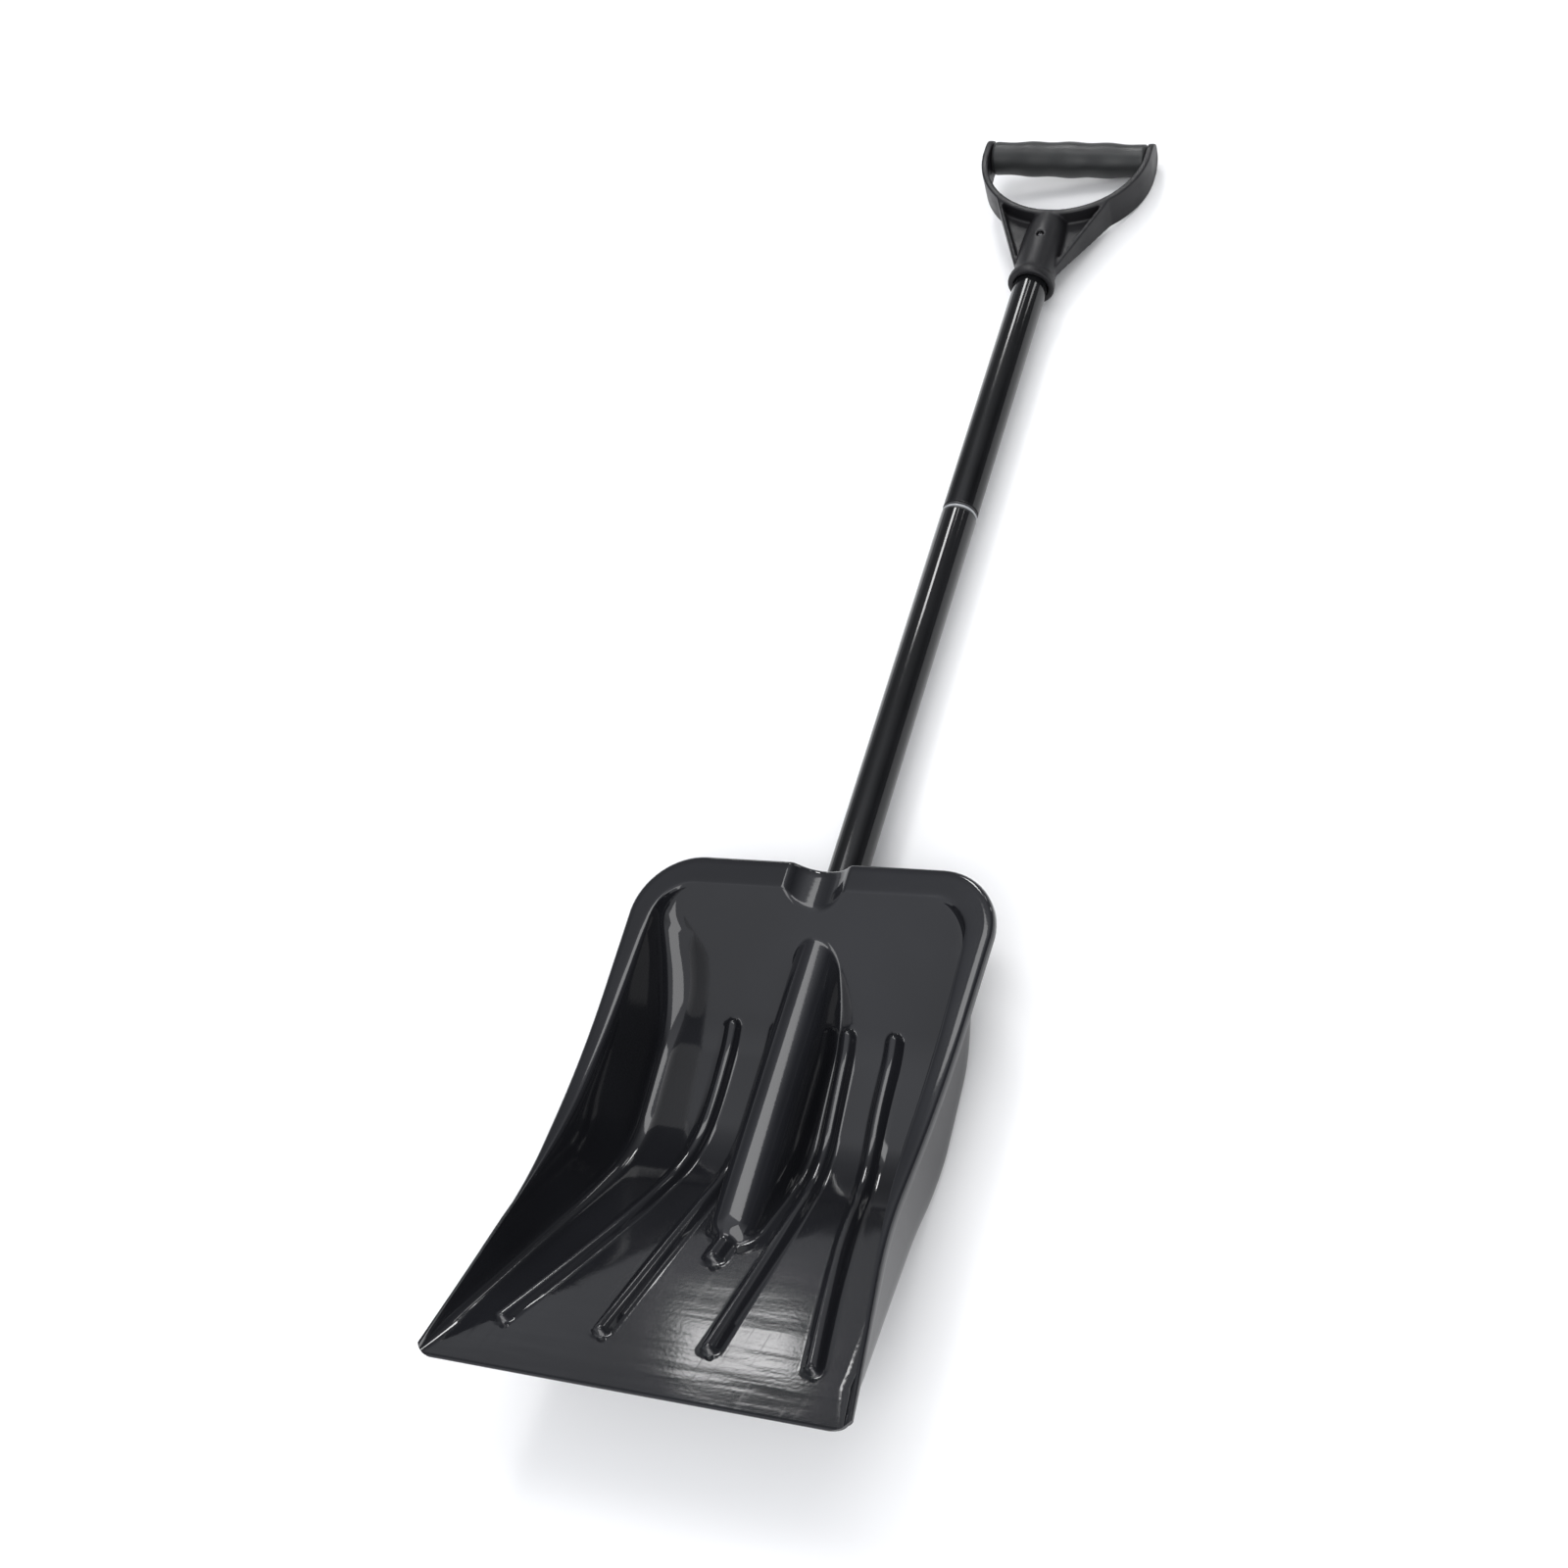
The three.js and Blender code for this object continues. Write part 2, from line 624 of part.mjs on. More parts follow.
function yokeStrap() {
  const outer = YOKE_RADIUS + YOKE_STRAP;
  const top = BAR_HEIGHT + YOKE_DEPTH / 2 - 1;
  const shape = new THREE.Shape();
  shape.moveTo(-outer, top);
  shape.lineTo(-outer, YOKE_CENTRE);
  shape.absarc(0, YOKE_CENTRE, outer, Math.PI, 2 * Math.PI, false);
  shape.lineTo(outer, top);
  shape.lineTo(YOKE_RADIUS, top);
  shape.lineTo(YOKE_RADIUS, YOKE_CENTRE);
  shape.absarc(0, YOKE_CENTRE, YOKE_RADIUS, 0, -Math.PI, true);
  shape.lineTo(-YOKE_RADIUS, top);
  const options = { depth: YOKE_DEPTH, bevelEnabled: false, curveSegments: 28 };
  const strap = solid(new THREE.ExtrudeGeometry(shape, options).translate(0, 0, -YOKE_DEPTH / 2));
  const wide = outer + 1;
  const lower = solid(box([-wide, YOKE_CENTRE - wide, -YOKE_DEPTH], [wide, BAR_HEIGHT, YOKE_DEPTH]));
  const ends = crossBar(YOKE_DEPTH / 2, wide, 28);
  return strap.intersect(lower.add(ends));
}

// One side's brace: a plate in the middle plane, edged by a deep flange that narrows to the socket.
function yokeBrace() {
  const web = solid(plate(BRACE_WEB, -BRACE_WEB_HALF, BRACE_WEB_HALF));
  const flange = solid(plate(BRACE_RAIL, -YOKE_DEPTH / 2, YOKE_DEPTH / 2));
  const taper = solid(slab(BRACE_TAPER, BEYOND));
  return web.add(flange.intersect(taper));
}

function makeYoke() {
  const socket = solid(lathe([
    [0, YOKE_MOUTH],
    [YOKE_COLLAR - 0.8, YOKE_MOUTH],
    [YOKE_COLLAR, YOKE_MOUTH + 1],
    [YOKE_COLLAR, YOKE_MOUTH + 5],
    [YOKE_SOCKET, YOKE_MOUTH + 10],
    [YOKE_SOCKET, 913],
    [YOKE_SOCKET - 0.9, 920],
    [YOKE_SOCKET - 3.2, 927],
    [YOKE_SOCKET - 6, YOKE_DOME_END],
    [0, YOKE_DOME_END],
  ]));
  const bar = crossBar(BAR_CORE, YOKE_RADIUS + 1, 24);
  const brace = yokeBrace();
  const otherBrace = brace.mirror([1, 0, 0]);
  const handRoom = rod(YOKE_RADIUS, -YOKE_DEPTH, YOKE_DEPTH, 56).rotateX(Math.PI / 2);
  const lower = union([socket, brace, otherBrace]).subtract(solid(handRoom.translate(0, YOKE_CENTRE, 0)));
  const bore = solid(rod(SOCKET_BORE, YOKE_MOUTH - 1, UPPER_TUBE_END + GAP));
  const hole = screwHole(GRIP_SCREW_HEIGHT, GRIP_HOLE, 1);
  return geometryOf(union([lower, yokeStrap(), bar]).subtract(bore).subtract(hole));
}

// A soft sleeve, thickest in its middle, with four finger waves.
function makeSleeve() {
  const half = YOKE_RADIUS - 1;
  const inner = BAR_CORE + GAP;
  const profile = [[inner, -half]];
  for (let i = 0; i <= SLEEVE_STEPS; i += 1) {
    const along = -1 + (2 * i) / SLEEVE_STEPS;
    const crown = SLEEVE_CROWN * (1 - along ** 2) + SLEEVE_WAVE * Math.cos(along * 4 * Math.PI);
    const end = Math.abs(along) === 1 ? SLEEVE_END_ROUND : 0;
    profile.push([SLEEVE_RADIUS + crown - end, along * half]);
  }
  profile.push([inner, half], [inner, -half]);
  return lathe(profile, 22).rotateZ(Math.PI / 2);
}

// ---- Assembly -----------------------------------------------------------------------------------

function part(name, geometry, material) {
  const mesh = new THREE.Mesh(geometry, material);
  mesh.name = name;
  return mesh;
}

const shovel = new THREE.Group();
const lowerTube = makeTube(LOWER_TUBE_START, JOINT_HEIGHT - GAP - FLANGE_THICKNESS - GAP, scoopScrewHoles());
shovel.add(part('scoop', makeScoop(), plastic));
shovel.add(part('lower_tube', lowerTube, enamel));
shovel.add(part('thread_socket', makeThreadSocket(), insertPlastic));
shovel.add(part('joint_washer', makeWasher(), nylon));

['scoop_screw_lower', 'scoop_screw_upper'].forEach((name, i) => {
  const screw = part(name, panScrew(SCREW_SHANK, SCREW_HEAD, SCREW_HEAD_HEIGHT, SCREW_REACH), steel);
  screw.rotation.x = -Math.PI / 2;
  screw.position.set(0, SCOOP_SCREWS[i], -SOCKET_RADIUS - GAP);
  shovel.add(screw);
});

const upper = new THREE.Group();
upper.rotation.y = GRIP_TWIST;
const upperStart = JOINT_HEIGHT + WASHER_THICKNESS + 3 * GAP + COLLAR_THICKNESS;
const pilotHole = screwHole(GRIP_SCREW_HEIGHT, GRIP_PILOT, 1);
upper.add(part('upper_tube', makeTube(upperStart, UPPER_TUBE_END, [pilotHole]), enamel));
upper.add(part('grip_yoke', makeYoke(), gripPlastic));

const sleeve = part('grip_sleeve', makeSleeve(), softRubber);
sleeve.position.y = BAR_HEIGHT;
upper.add(sleeve);

const gripScrewShape = panScrew(GRIP_SCREW_SHANK, GRIP_SCREW_HEAD, GRIP_SCREW_HEAD_HEIGHT, GRIP_SCREW_REACH);
const gripScrew = part('grip_screw', gripScrewShape, steel);
gripScrew.rotation.x = Math.PI / 2;
gripScrew.position.set(0, GRIP_SCREW_HEIGHT, TUBE_RADIUS + GAP);
upper.add(gripScrew);
shovel.add(upper);

// The threaded plug keeps the lower tube's heading, so the two threads stay in step.
shovel.add(part('thread_plug', makeThreadPlug(), insertPlastic));

shovel.rotation.x = -REST_TILT;
const bounds = new THREE.Box3().setFromObject(shovel, true);
const middle = bounds.getCenter(new THREE.Vector3());
shovel.position.set(-middle.x, -middle.y, -bounds.min.z);

export default shovel;
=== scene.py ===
"""A snow shovel's finished look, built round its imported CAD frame.

Shapes are worked out in millimetres in the shovel's own frame: Y runs up the shaft from the scoop's front
edge, X is across the scoop and Z is its open side. finish_piece() then sets each piece down in the row frame.
"""

import json
import math

import bmesh
import bpy
import numpy as np
from mathutils import Matrix, Vector


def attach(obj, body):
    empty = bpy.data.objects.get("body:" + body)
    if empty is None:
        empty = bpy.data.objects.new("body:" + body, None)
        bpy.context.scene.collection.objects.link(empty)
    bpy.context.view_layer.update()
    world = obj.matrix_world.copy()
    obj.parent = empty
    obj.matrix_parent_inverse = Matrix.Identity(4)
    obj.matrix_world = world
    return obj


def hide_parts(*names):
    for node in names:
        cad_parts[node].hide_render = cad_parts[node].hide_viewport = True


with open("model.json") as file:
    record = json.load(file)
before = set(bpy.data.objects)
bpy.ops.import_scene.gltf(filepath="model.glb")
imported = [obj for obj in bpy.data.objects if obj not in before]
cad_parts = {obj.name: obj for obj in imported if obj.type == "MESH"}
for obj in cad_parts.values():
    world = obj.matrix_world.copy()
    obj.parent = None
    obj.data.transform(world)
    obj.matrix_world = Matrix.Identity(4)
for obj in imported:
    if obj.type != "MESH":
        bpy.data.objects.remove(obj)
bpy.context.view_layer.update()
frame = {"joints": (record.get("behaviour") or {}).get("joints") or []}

MM = 0.001

# Shaft, in millimetres up from the scoop's front edge
TUBE_RADIUS = 12.5
TUBE_BORE = 11.5
GAP = 0.3
LOWER_TUBE_START = 124
JOINT_HEIGHT = 650
LOWER_TUBE_END = JOINT_HEIGHT - 1.8
WASHER_THICKNESS = 1.8
COLLAR_THICKNESS = 1.4
UPPER_TUBE_END = 918

# Screw joint
THREAD_PITCH = 5
THREAD_ROOT = 6.6
THREAD_CREST = 8.6
THREAD_CLEARANCE = 0.35
SPIGOT_LENGTH = 27
INSERT_LENGTH = 36
COLLAR_RADIUS = TUBE_RADIUS - 0.4

# Scoop
WALL = 3
EDGE_DEPTH = 70.5
RIM_LEVEL = 36
BROW_TOP = 329
SCOOP_LENGTH = 349
INNER_CORNER = 25
OUTER_CORNER = 42
FRONT_CORNER = 13
WALL_DRAFT = 0.05
WALL_FILLET = 8
BROW_FILLET = 17
LIP_DROP = 7
LIP_BEND = 3.2
GROOVE_LEVEL = 26.5
GROOVE_RADIUS = 25
EDGE_ROUND = 0.7
FRONT_SETBACK = 1.2
EDGE_SHARE = 0.6
EDGE_TAPER = 12

# Shaft socket in the scoop
SOCKET_RADIUS = 15.8
SOCKET_BORE = TUBE_RADIUS + GAP
SOCKET_TOE = 124
SOCKET_MOUTH = 340
SOCKET_DRAFT = math.radians(3.5)
SOCKET_FILLET = (1.6, 4)
POCKET_HALF_WIDTH = 12.4
POCKET_START = 154
POCKET_END = 264
POCKET_RIB = 2.6
POCKET_COUNT = 4
GUSSET_PLACE = 9.5
GUSSET_HALF_WIDTH = 1.3
SCOOP_SCREWS = (195.3, 249)
SCOOP_SCREW_RADIUS = 1.9

# Ribs on the scoop's floor: (x, y) in plan, from the brow down to the front
OUTER_RIB = ((55, 258), (56, 200), (66, 135), (81, 83), (97, 35))
INNER_RIB = ((24, 258), (27, 193), (30.5, 133), (34, 37))
RIB_HEIGHT = 5.4
TOE_START = 130
TOE_END = 99
TOE_HEIGHT = 6.5

# D-grip
GRIP_TWIST = math.radians(8.5)
BAR_HEIGHT = 999
BAR_CORE = 8
SLEEVE_RADIUS = 11.95
SLEEVE_CROWN = 1.2
SLEEVE_WAVE = 0.4
YOKE_RADIUS = 60
YOKE_STRAP = 4.8
YOKE_DEPTH = 26
YOKE_WEB_HALF_WIDTH = 1.9
YOKE_CENTRE = 993
YOKE_SOCKET = 15.4
YOKE_COLLAR = 17.4
YOKE_MOUTH = 866
GRIP_SCREW_HEIGHT = 906
GRIP_SCREW_RADIUS = 1.4
GRIP_HOLE = 2.6

# Camera, in metres in the row frame
CAMERA_PLACE = Vector((0.6122, -0.7714, 1.1354))
CAMERA_AIM = Vector((-0.0819, -0.0624, 0))
CAMERA_UP = Vector((-0.0342, 0.8382, 0.5443))
SCOOP_PLACE = Vector((0.05, -0.44, 0.07))
GRIP_PLACE = Vector((0, 0.45, 0.03))
LENS = 51.75
SENSOR = 36

hinge = next(joint for joint in frame["joints"] if joint["type"] == "hinge")
up_shaft = Vector(hinge["axis"])
across = Vector((1, 0, 0))
front_edge = Vector(hinge["pos_m"]) - up_shaft * JOINT_HEIGHT * MM
SHOVEL = Matrix((across, up_shaft, across.cross(up_shaft))).transposed().to_4x4()
SHOVEL.translation = front_edge
SHOVEL = SHOVEL @ Matrix.Scale(MM, 4)
GRIP = SHOVEL @ Matrix.Rotation(GRIP_TWIST, 4, "Y")

ROOT = "scoop_and_lower_shaft"
WASHER = "washer"
UPPER = "upper_shaft_and_grip"


# ---- Meshes --------------------------------------------------------------------------------------


def mesh_object(name, points, faces):
    """A mesh object of faces that all have the same number of corners."""
    points = np.asarray(points, np.float32)
    faces = np.asarray(faces, np.int32)
    mesh = bpy.data.meshes.new(name)
    mesh.vertices.add(len(points))
    mesh.vertices.foreach_set("co", points.ravel())
    corners = faces.shape[1]
    mesh.loops.add(faces.size)
    mesh.loops.foreach_set("vertex_index", faces.ravel())
    mesh.polygons.add(len(faces))
    mesh.polygons.foreach_set("loop_start", np.arange(0, faces.size, corners, dtype=np.int32))
    mesh.update(calc_edges=True)
    mesh.validate()
    piece = bpy.data.objects.new(name, mesh)
    bpy.context.scene.collection.objects.link(piece)
    return piece


def clean(piece, distance=1e-3):
    """Joins vertices that lie together and turns every face outwards."""
    shape = bmesh.new()
    shape.from_mesh(piece.data)
    bmesh.ops.remove_doubles(shape, verts=shape.verts, dist=distance)
    bmesh.ops.dissolve_degenerate(shape, edges=shape.edges, dist=distance / 10)
    bmesh.ops.recalc_face_normals(shape, faces=shape.faces)
    shape.to_mesh(piece.data)
    shape.free()
    return piece


def apply_modifiers(piece):
    bpy.context.view_layer.update()
    graph = bpy.context.evaluated_depsgraph_get()
    mesh = bpy.data.meshes.new_from_object(piece.evaluated_get(graph))
    piece.modifiers.clear()
    old = piece.data
    piece.data = mesh
    bpy.data.meshes.remove(old)
    return piece


def combine(base, others, operation):
    """Joins the others to base or cuts them from it, and removes them."""
    for other in others:
        step = base.modifiers.new("step", "BOOLEAN")
        step.operation = operation
        step.solver = "MANIFOLD"
        step.object = other
    apply_modifiers(base)
    for other in others:
        bpy.data.objects.remove(other)
    return base


def grid_faces(rows, columns, closed):
    """Quads between the points of a grid stored row by row; closed joins its last column to its first."""
    r, c = np.meshgrid(np.arange(rows - 1), np.arange(columns if closed else columns - 1), indexing="ij")
    right = (c + 1) % columns
    corners = (r * columns + c, r * columns + right, (r + 1) * columns + right, (r + 1) * columns + c)
    return np.stack(corners, -1).reshape(-1, 4)


def revolve(name, profile, segments=96, wave=None, closed=False):
    """A solid turned round Y from a profile of (radius, height). wave(radius, height, angle) may shape it."""
    profile = np.array(profile, float)
    if closed:
        profile = np.vstack([profile, profile[:1]])
    angle = np.linspace(0, 2 * np.pi, segments, endpoint=False)[None, :]
    radius = np.repeat(profile[:, :1], segments, axis=1)
    height = np.repeat(profile[:, 1:], segments, axis=1)
    if wave:
        radius = wave(radius, height, angle)
    points = np.stack([radius * np.sin(angle), height, radius * np.cos(angle)], -1)
    faces = grid_faces(len(profile), segments, True)
    return clean(mesh_object(name, points.reshape(-1, 3), faces))


def rounded(outline, radius, steps=5, closed=False):
    """An outline with its corners rounded. A third number in a point gives that corner its own radius."""
    points = [np.array(point[:2], float) for point in outline]
    sizes = [point[2] if len(point) > 2 else radius for point in outline]
    count = len(points)
    result = []
    for i, point in enumerate(points):
        if not closed and i in (0, count - 1):
            result.append(point)
            continue
        before = points[i - 1] - point
        after = points[(i + 1) % count] - point
        reach = min(sizes[i], 0.49 * np.linalg.norm(before), 0.49 * np.linalg.norm(after))
        start = point + before / np.linalg.norm(before) * reach
        end = point + after / np.linalg.norm(after) * reach
        for t in np.linspace(0, 1, steps):
            result.append((1 - t) ** 2 * start + 2 * t * (1 - t) * point + t**2 * end)
    return [tuple(point) for point in result]


def prism(name, outline, low, high, axes="xyz"):
    """An outline in the first two axes, filled and extruded from low to high along the third."""
    order = ["xyz".index(axis) for axis in axes]
    shape = bmesh.new()
    corners = []
    for a, b in outline:
        place_of = [0.0, 0.0, 0.0]
        place_of[order[0]], place_of[order[1]], place_of[order[2]] = a, b, low
        corners.append(shape.verts.new(place_of))
    face = shape.faces.new(corners)
    grown = bmesh.ops.extrude_face_region(shape, geom=[face])
    shift = Vector((0, 0, 0))
    shift[order[2]] = high - low
    top = [part for part in grown["geom"] if isinstance(part, bmesh.types.BMVert)]
    bmesh.ops.translate(shape, verts=top, vec=shift)
    bmesh.ops.triangulate(shape, faces=shape.faces)
    bmesh.ops.recalc_face_normals(shape, faces=shape.faces)
    mesh = bpy.data.meshes.new(name)
    shape.to_mesh(mesh)
    shape.free()
    piece = bpy.data.objects.new(name, mesh)
    bpy.context.scene.collection.objects.link(piece)
    return piece


def box(name, low, high):
    outline = [(low[0], low[1]), (high[0], low[1]), (high[0], high[1]), (low[0], high[1])]
    return prism(name, outline, low[2], high[2])


def turned(piece, matrix):
    piece.data.transform(matrix)
    return piece


def cross_bar(name, radius, half_length, height, segments=96):
    """A rod across the shovel at a height up the shaft."""
    profile = [(0, -half_length), (radius, -half_length), (radius, half_length), (0, half_length)]
    rod = revolve(name, profile, segments)
    return turned(rod, Matrix.Translation((0, height, 0)) @ Matrix.Rotation(-math.pi / 2, 4, "Z"))


def side_hole(name, height, radius, side):
    """A rod from the shaft's middle out of its front (side 1) or its back (side -1)."""
    rod = revolve(name, [(0, 0), (radius, 0), (radius, 30), (0, 30)], 48)
    return turned(rod, Matrix.Translation((0, height, 0)) @ Matrix.Rotation(side * math.pi / 2, 4, "X"))


def finish_piece(piece, matrix, body, material, nodes=(), crease=35):
    """Sets a finished piece down in the row frame, shades it, hangs it on its body and hides the CAD parts it
    replaces.
    """
    piece.data.transform(matrix)
    piece.data.materials.clear()
    piece.data.materials.append(material)
    piece.data.polygons.foreach_set("use_smooth", np.ones(len(piece.data.polygons), bool))
    piece.data.set_sharp_from_angle(angle=math.radians(crease))
    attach(piece, body)
    if nodes:
        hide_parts(*nodes)
    return piece


# ---- Materials -----------------------------------------------------------------------------------


class Network:
    """Helpers for a node tree: procedural values at a place on the surface, or a direction in the room."""

    def __init__(self, tree, coordinate):
        self.nodes = tree.nodes
        self.links = tree.links
        self.place = self.nodes.new("ShaderNodeTexCoord").outputs[coordinate]

    def noise(self, scale, detail=2.0, stretch=(1, 1, 1), turn=(0, 0, 0)):
        """Noise at a scale per metre, stretched along the axes."""
        mapping = self.nodes.new("ShaderNodeMapping")
        mapping.inputs["Scale"].default_value = stretch
        mapping.inputs["Rotation"].default_value = turn
        noise = self.nodes.new("ShaderNodeTexNoise")
        noise.inputs["Scale"].default_value = scale
        noise.inputs["Detail"].default_value = detail
        self.links.new(self.place, mapping.inputs["Vector"])
        self.links.new(mapping.outputs["Vector"], noise.inputs["Vector"])
        return noise.outputs["Fac"]

    def ramp(self, value, low, high, start=0.0, end=1.0):
        """Maps a value from low..high to start..end, and holds it there."""
        node = self.nodes.new("ShaderNodeMapRange")
        node.inputs["From Min"].default_value = low
        node.inputs["From Max"].default_value = high
        node.inputs["To Min"].default_value = start
        node.inputs["To Max"].default_value = end
        self.links.new(value, node.inputs["Value"])
        return node.outputs["Result"]

    def math(self, operation, first, second):
        node = self.nodes.new("ShaderNodeMath")
        node.operation = operation
        for socket, value in zip(node.inputs, (first, second)):
            if isinstance(value, (int, float)):
                socket.default_value = value
            else:
                self.links.new(value, socket)
        return node.outputs["Value"]

    def along(self, axis):
        """One of the place's three numbers."""
        split = self.nodes.new("ShaderNodeSeparateXYZ")
        self.links.new(self.place, split.inputs["Vector"])
        return split.outputs[axis]


class Finish(Network):
    """A Principled material with colour, roughness and relief."""

    def __init__(self, name, roughness, metallic=0.0, **sockets):
        self.material = bpy.data.materials.new(name)
        self.material.use_nodes = True
        super().__init__(self.material.node_tree, "Object")
        self.shader = self.nodes["Principled BSDF"]
        self.shader.inputs["Roughness"].default_value = roughness
        self.shader.inputs["Metallic"].default_value = metallic
        for socket, value in sockets.items():
            self.shader.inputs[socket.replace("_", " ")].default_value = value
        self.height = None

    def colour(self, value, first, second):
        mix = self.nodes.new("ShaderNodeMix")
        mix.data_type = "RGBA"
        mix.inputs[6].default_value = (*first, 1)
        mix.inputs[7].default_value = (*second, 1)
        self.links.new(value, mix.inputs[0])
        self.links.new(mix.outputs[2], self.shader.inputs["Base Color"])

    def rough(self, value):
        self.links.new(value, self.shader.inputs["Roughness"])

    def bump(self, value, height, strength=1.0):
        """Adds relief of a height in metres."""
        node = self.nodes.new("ShaderNodeBump")
        node.inputs["Strength"].default_value = strength
        node.inputs["Distance"].default_value = height
        self.links.new(value, node.inputs["Height"])
        if self.height is not None:
            self.links.new(self.height, node.inputs["Normal"])
        self.height = node.outputs["Normal"]
        self.links.new(self.height, self.shader.inputs["Normal"])


def scoop_finish():
    """Glossy black moulding: slow ripples across the flow, a faint orange peel and scuffs on the floor."""
    finish = Finish("scoop_plastic", 0.13, IOR=1.5)
    tone = finish.noise(9, 3)
    finish.colour(finish.ramp(tone, 0.35, 0.65), (0.0085, 0.0088, 0.0105), (0.0125, 0.013, 0.0155))
    scuffs = finish.ramp(finish.noise(26, 4, (9, 0.5, 1)), 0.6, 0.72)
    worn = finish.ramp(finish.along("Y"), -0.33, -0.5)
    scuffed = finish.math("MULTIPLY", scuffs, worn)
    cloudy = finish.ramp(finish.noise(14, 3), 0.3, 0.7, 0.06, 0.1)
    finish.rough(finish.math("ADD", cloudy, finish.math("MULTIPLY", scuffed, 0.12)))
    floor = finish.ramp(finish.along("Y"), -0.38, -0.46)
    finish.bump(finish.math("MULTIPLY", finish.noise(9, 3, (0.7, 5, 5)), floor), 0.0002)
    finish.bump(finish.noise(420, 2), 0.000012)
    return finish.material


def enamel_finish():
    finish = Finish("shaft_enamel", 0.1, IOR=1.42)
    tone = finish.ramp(finish.noise(12, 3), 0.35, 0.65)
    finish.colour(tone, (0.004, 0.0042, 0.0046), (0.007, 0.0072, 0.008))
    finish.rough(finish.ramp(finish.noise(30, 3, (1, 0.2, 1)), 0.3, 0.75, 0.07, 0.16))
    finish.bump(finish.noise(380, 2), 0.00001)
    return finish.material


def grip_finish():
    finish = Finish("grip_plastic", 0.4, IOR=1.48, Specular_IOR_Level=0.3)
    tone = finish.ramp(finish.noise(22, 4), 0.3, 0.7)
    finish.colour(tone, (0.008, 0.0078, 0.0088), (0.013, 0.0127, 0.0142))
    finish.rough(finish.ramp(finish.noise(60, 3), 0.3, 0.7, 0.36, 0.5))
    finish.bump(finish.noise(1700, 2), 0.00006)
    return finish.material


def rubber_finish():
    finish = Finish("grip_rubber", 0.5, IOR=1.48, Specular_IOR_Level=0.45,
                    Sheen_Weight=0.06, Sheen_Roughness=0.5)
    tone = finish.ramp(finish.noise(30, 4), 0.3, 0.7)
    finish.colour(tone, (0.007, 0.0076, 0.0078), (0.013, 0.0142, 0.0144))
    finish.rough(finish.ramp(finish.noise(45, 3), 0.3, 0.7, 0.36, 0.54))
    finish.bump(finish.noise(1100, 3), 0.00009)
    return finish.material


def nylon_finish():
    finish = Finish("washer_nylon", 0.35)
    finish.colour(finish.ramp(finish.noise(160, 3), 0.3, 0.7), (0.26, 0.27, 0.28), (0.36, 0.37, 0.38))
    finish.bump(finish.noise(1500, 2), 0.00003)
    return finish.material


def insert_finish():
    finish = Finish("insert_plastic", 0.4)
    finish.colour(finish.ramp(finish.noise(80, 3), 0.3, 0.7), (0.016, 0.016, 0.017), (0.028, 0.028, 0.03))
    finish.rough(finish.ramp(finish.noise(120, 3), 0.3, 0.7, 0.33, 0.5))
    finish.bump(finish.noise(1400, 2), 0.00004)
    return finish.material


def steel_finish():
    finish = Finish("screw_steel", 0.35, metallic=1.0)
    finish.colour(finish.ramp(finish.noise(500, 4), 0.35, 0.65), (0.03, 0.03, 0.032), (0.09, 0.09, 0.094))
    finish.rough(finish.ramp(finish.noise(900, 2), 0.3, 0.7, 0.28, 0.45))
    finish.bump(finish.noise(2500, 2), 0.00002)
    return finish.material


# ---- Scoop: the face's shape ----------------------------------------------------------------------


def soft_max(a, b, blend):
    """The larger of two values, with the crease rounded off where they differ by less than the blend."""
    near = np.maximum(0, blend - np.abs(a - b))
    return np.maximum(a, b) + near**2 / (4 * blend)


def soft_min(a, b, blend):
    return -soft_max(-a, -b, blend)


def panel_level(y):
    """Height of the scoop's inner face on its middle line: floor, back and brow."""
    floor = EDGE_DEPTH - 0.5704 * y
    back = -43.8 + 0.0875 * y
    brow = RIM_LEVEL - 0.9325 * (BROW_TOP - y)
    return soft_max(soft_max(floor, back, 16), brow, 24)


def panel_slope(y):
    return (panel_level(y + 0.5) - panel_level(y - 0.5))


def rim_level(y):
    return soft_max(EDGE_DEPTH - 0.17 * y, RIM_LEVEL + 0 * y, 8)


def inner_half_width(y):
    return soft_max(133 - 0.18 * y, 106 + 0 * y, 6)


def outer_half_width(y):
    return soft_max(135 - 0.165 * y, 112 + 0.034 * y, 5)


def groove_level(x):
    """The shallow round groove through the middle of the rim, above the shaft."""
    inside = np.minimum(np.abs(x), GROOVE_RADIUS - 0.01)
    level = GROOVE_LEVEL + GROOVE_RADIUS - np.sqrt(GROOVE_RADIUS**2 - inside**2)
    return level + 4 * np.maximum(0, np.abs(x) - GROOVE_RADIUS + 0.01)


def with_groove(points, rim):
    """Cuts the groove: the brow is cut off at its level, and the rim, where true, goes down as a whole."""
    x, y, z = points.T
    level = groove_level(x)
    cut = soft_min(z, level, 3)
    lowered = z - RIM_LEVEL + soft_min(RIM_LEVEL + 0 * x, level, 3)
    points[:, 2] = np.where(y > BROW_TOP - 40, np.where(rim, lowered, cut), z)


def spline(points, samples):
    """A smooth curve through points in plan, with its own even spacing."""
    points = np.array(points, float)
    t = np.concatenate([[0], np.cumsum(np.linalg.norm(np.diff(points, axis=0), axis=1))])
    slopes = np.gradient(points, t, axis=0)
    at = np.linspace(0, t[-1], samples)
    i = np.clip(np.searchsorted(t, at) - 1, 0, len(t) - 2)
    h = (t[i + 1] - t[i])[:, None]
    s = ((at - t[i])[:, None]) / h
    return (
        (2 * s**3 - 3 * s**2 + 1) * points[i]
        + (s**3 - 2 * s**2 + s) * h * slopes[i]
        + (3 * s**2 - 2 * s**3) * points[i + 1]
        + (s**3 - s**2) * h * slopes[i + 1]
    )


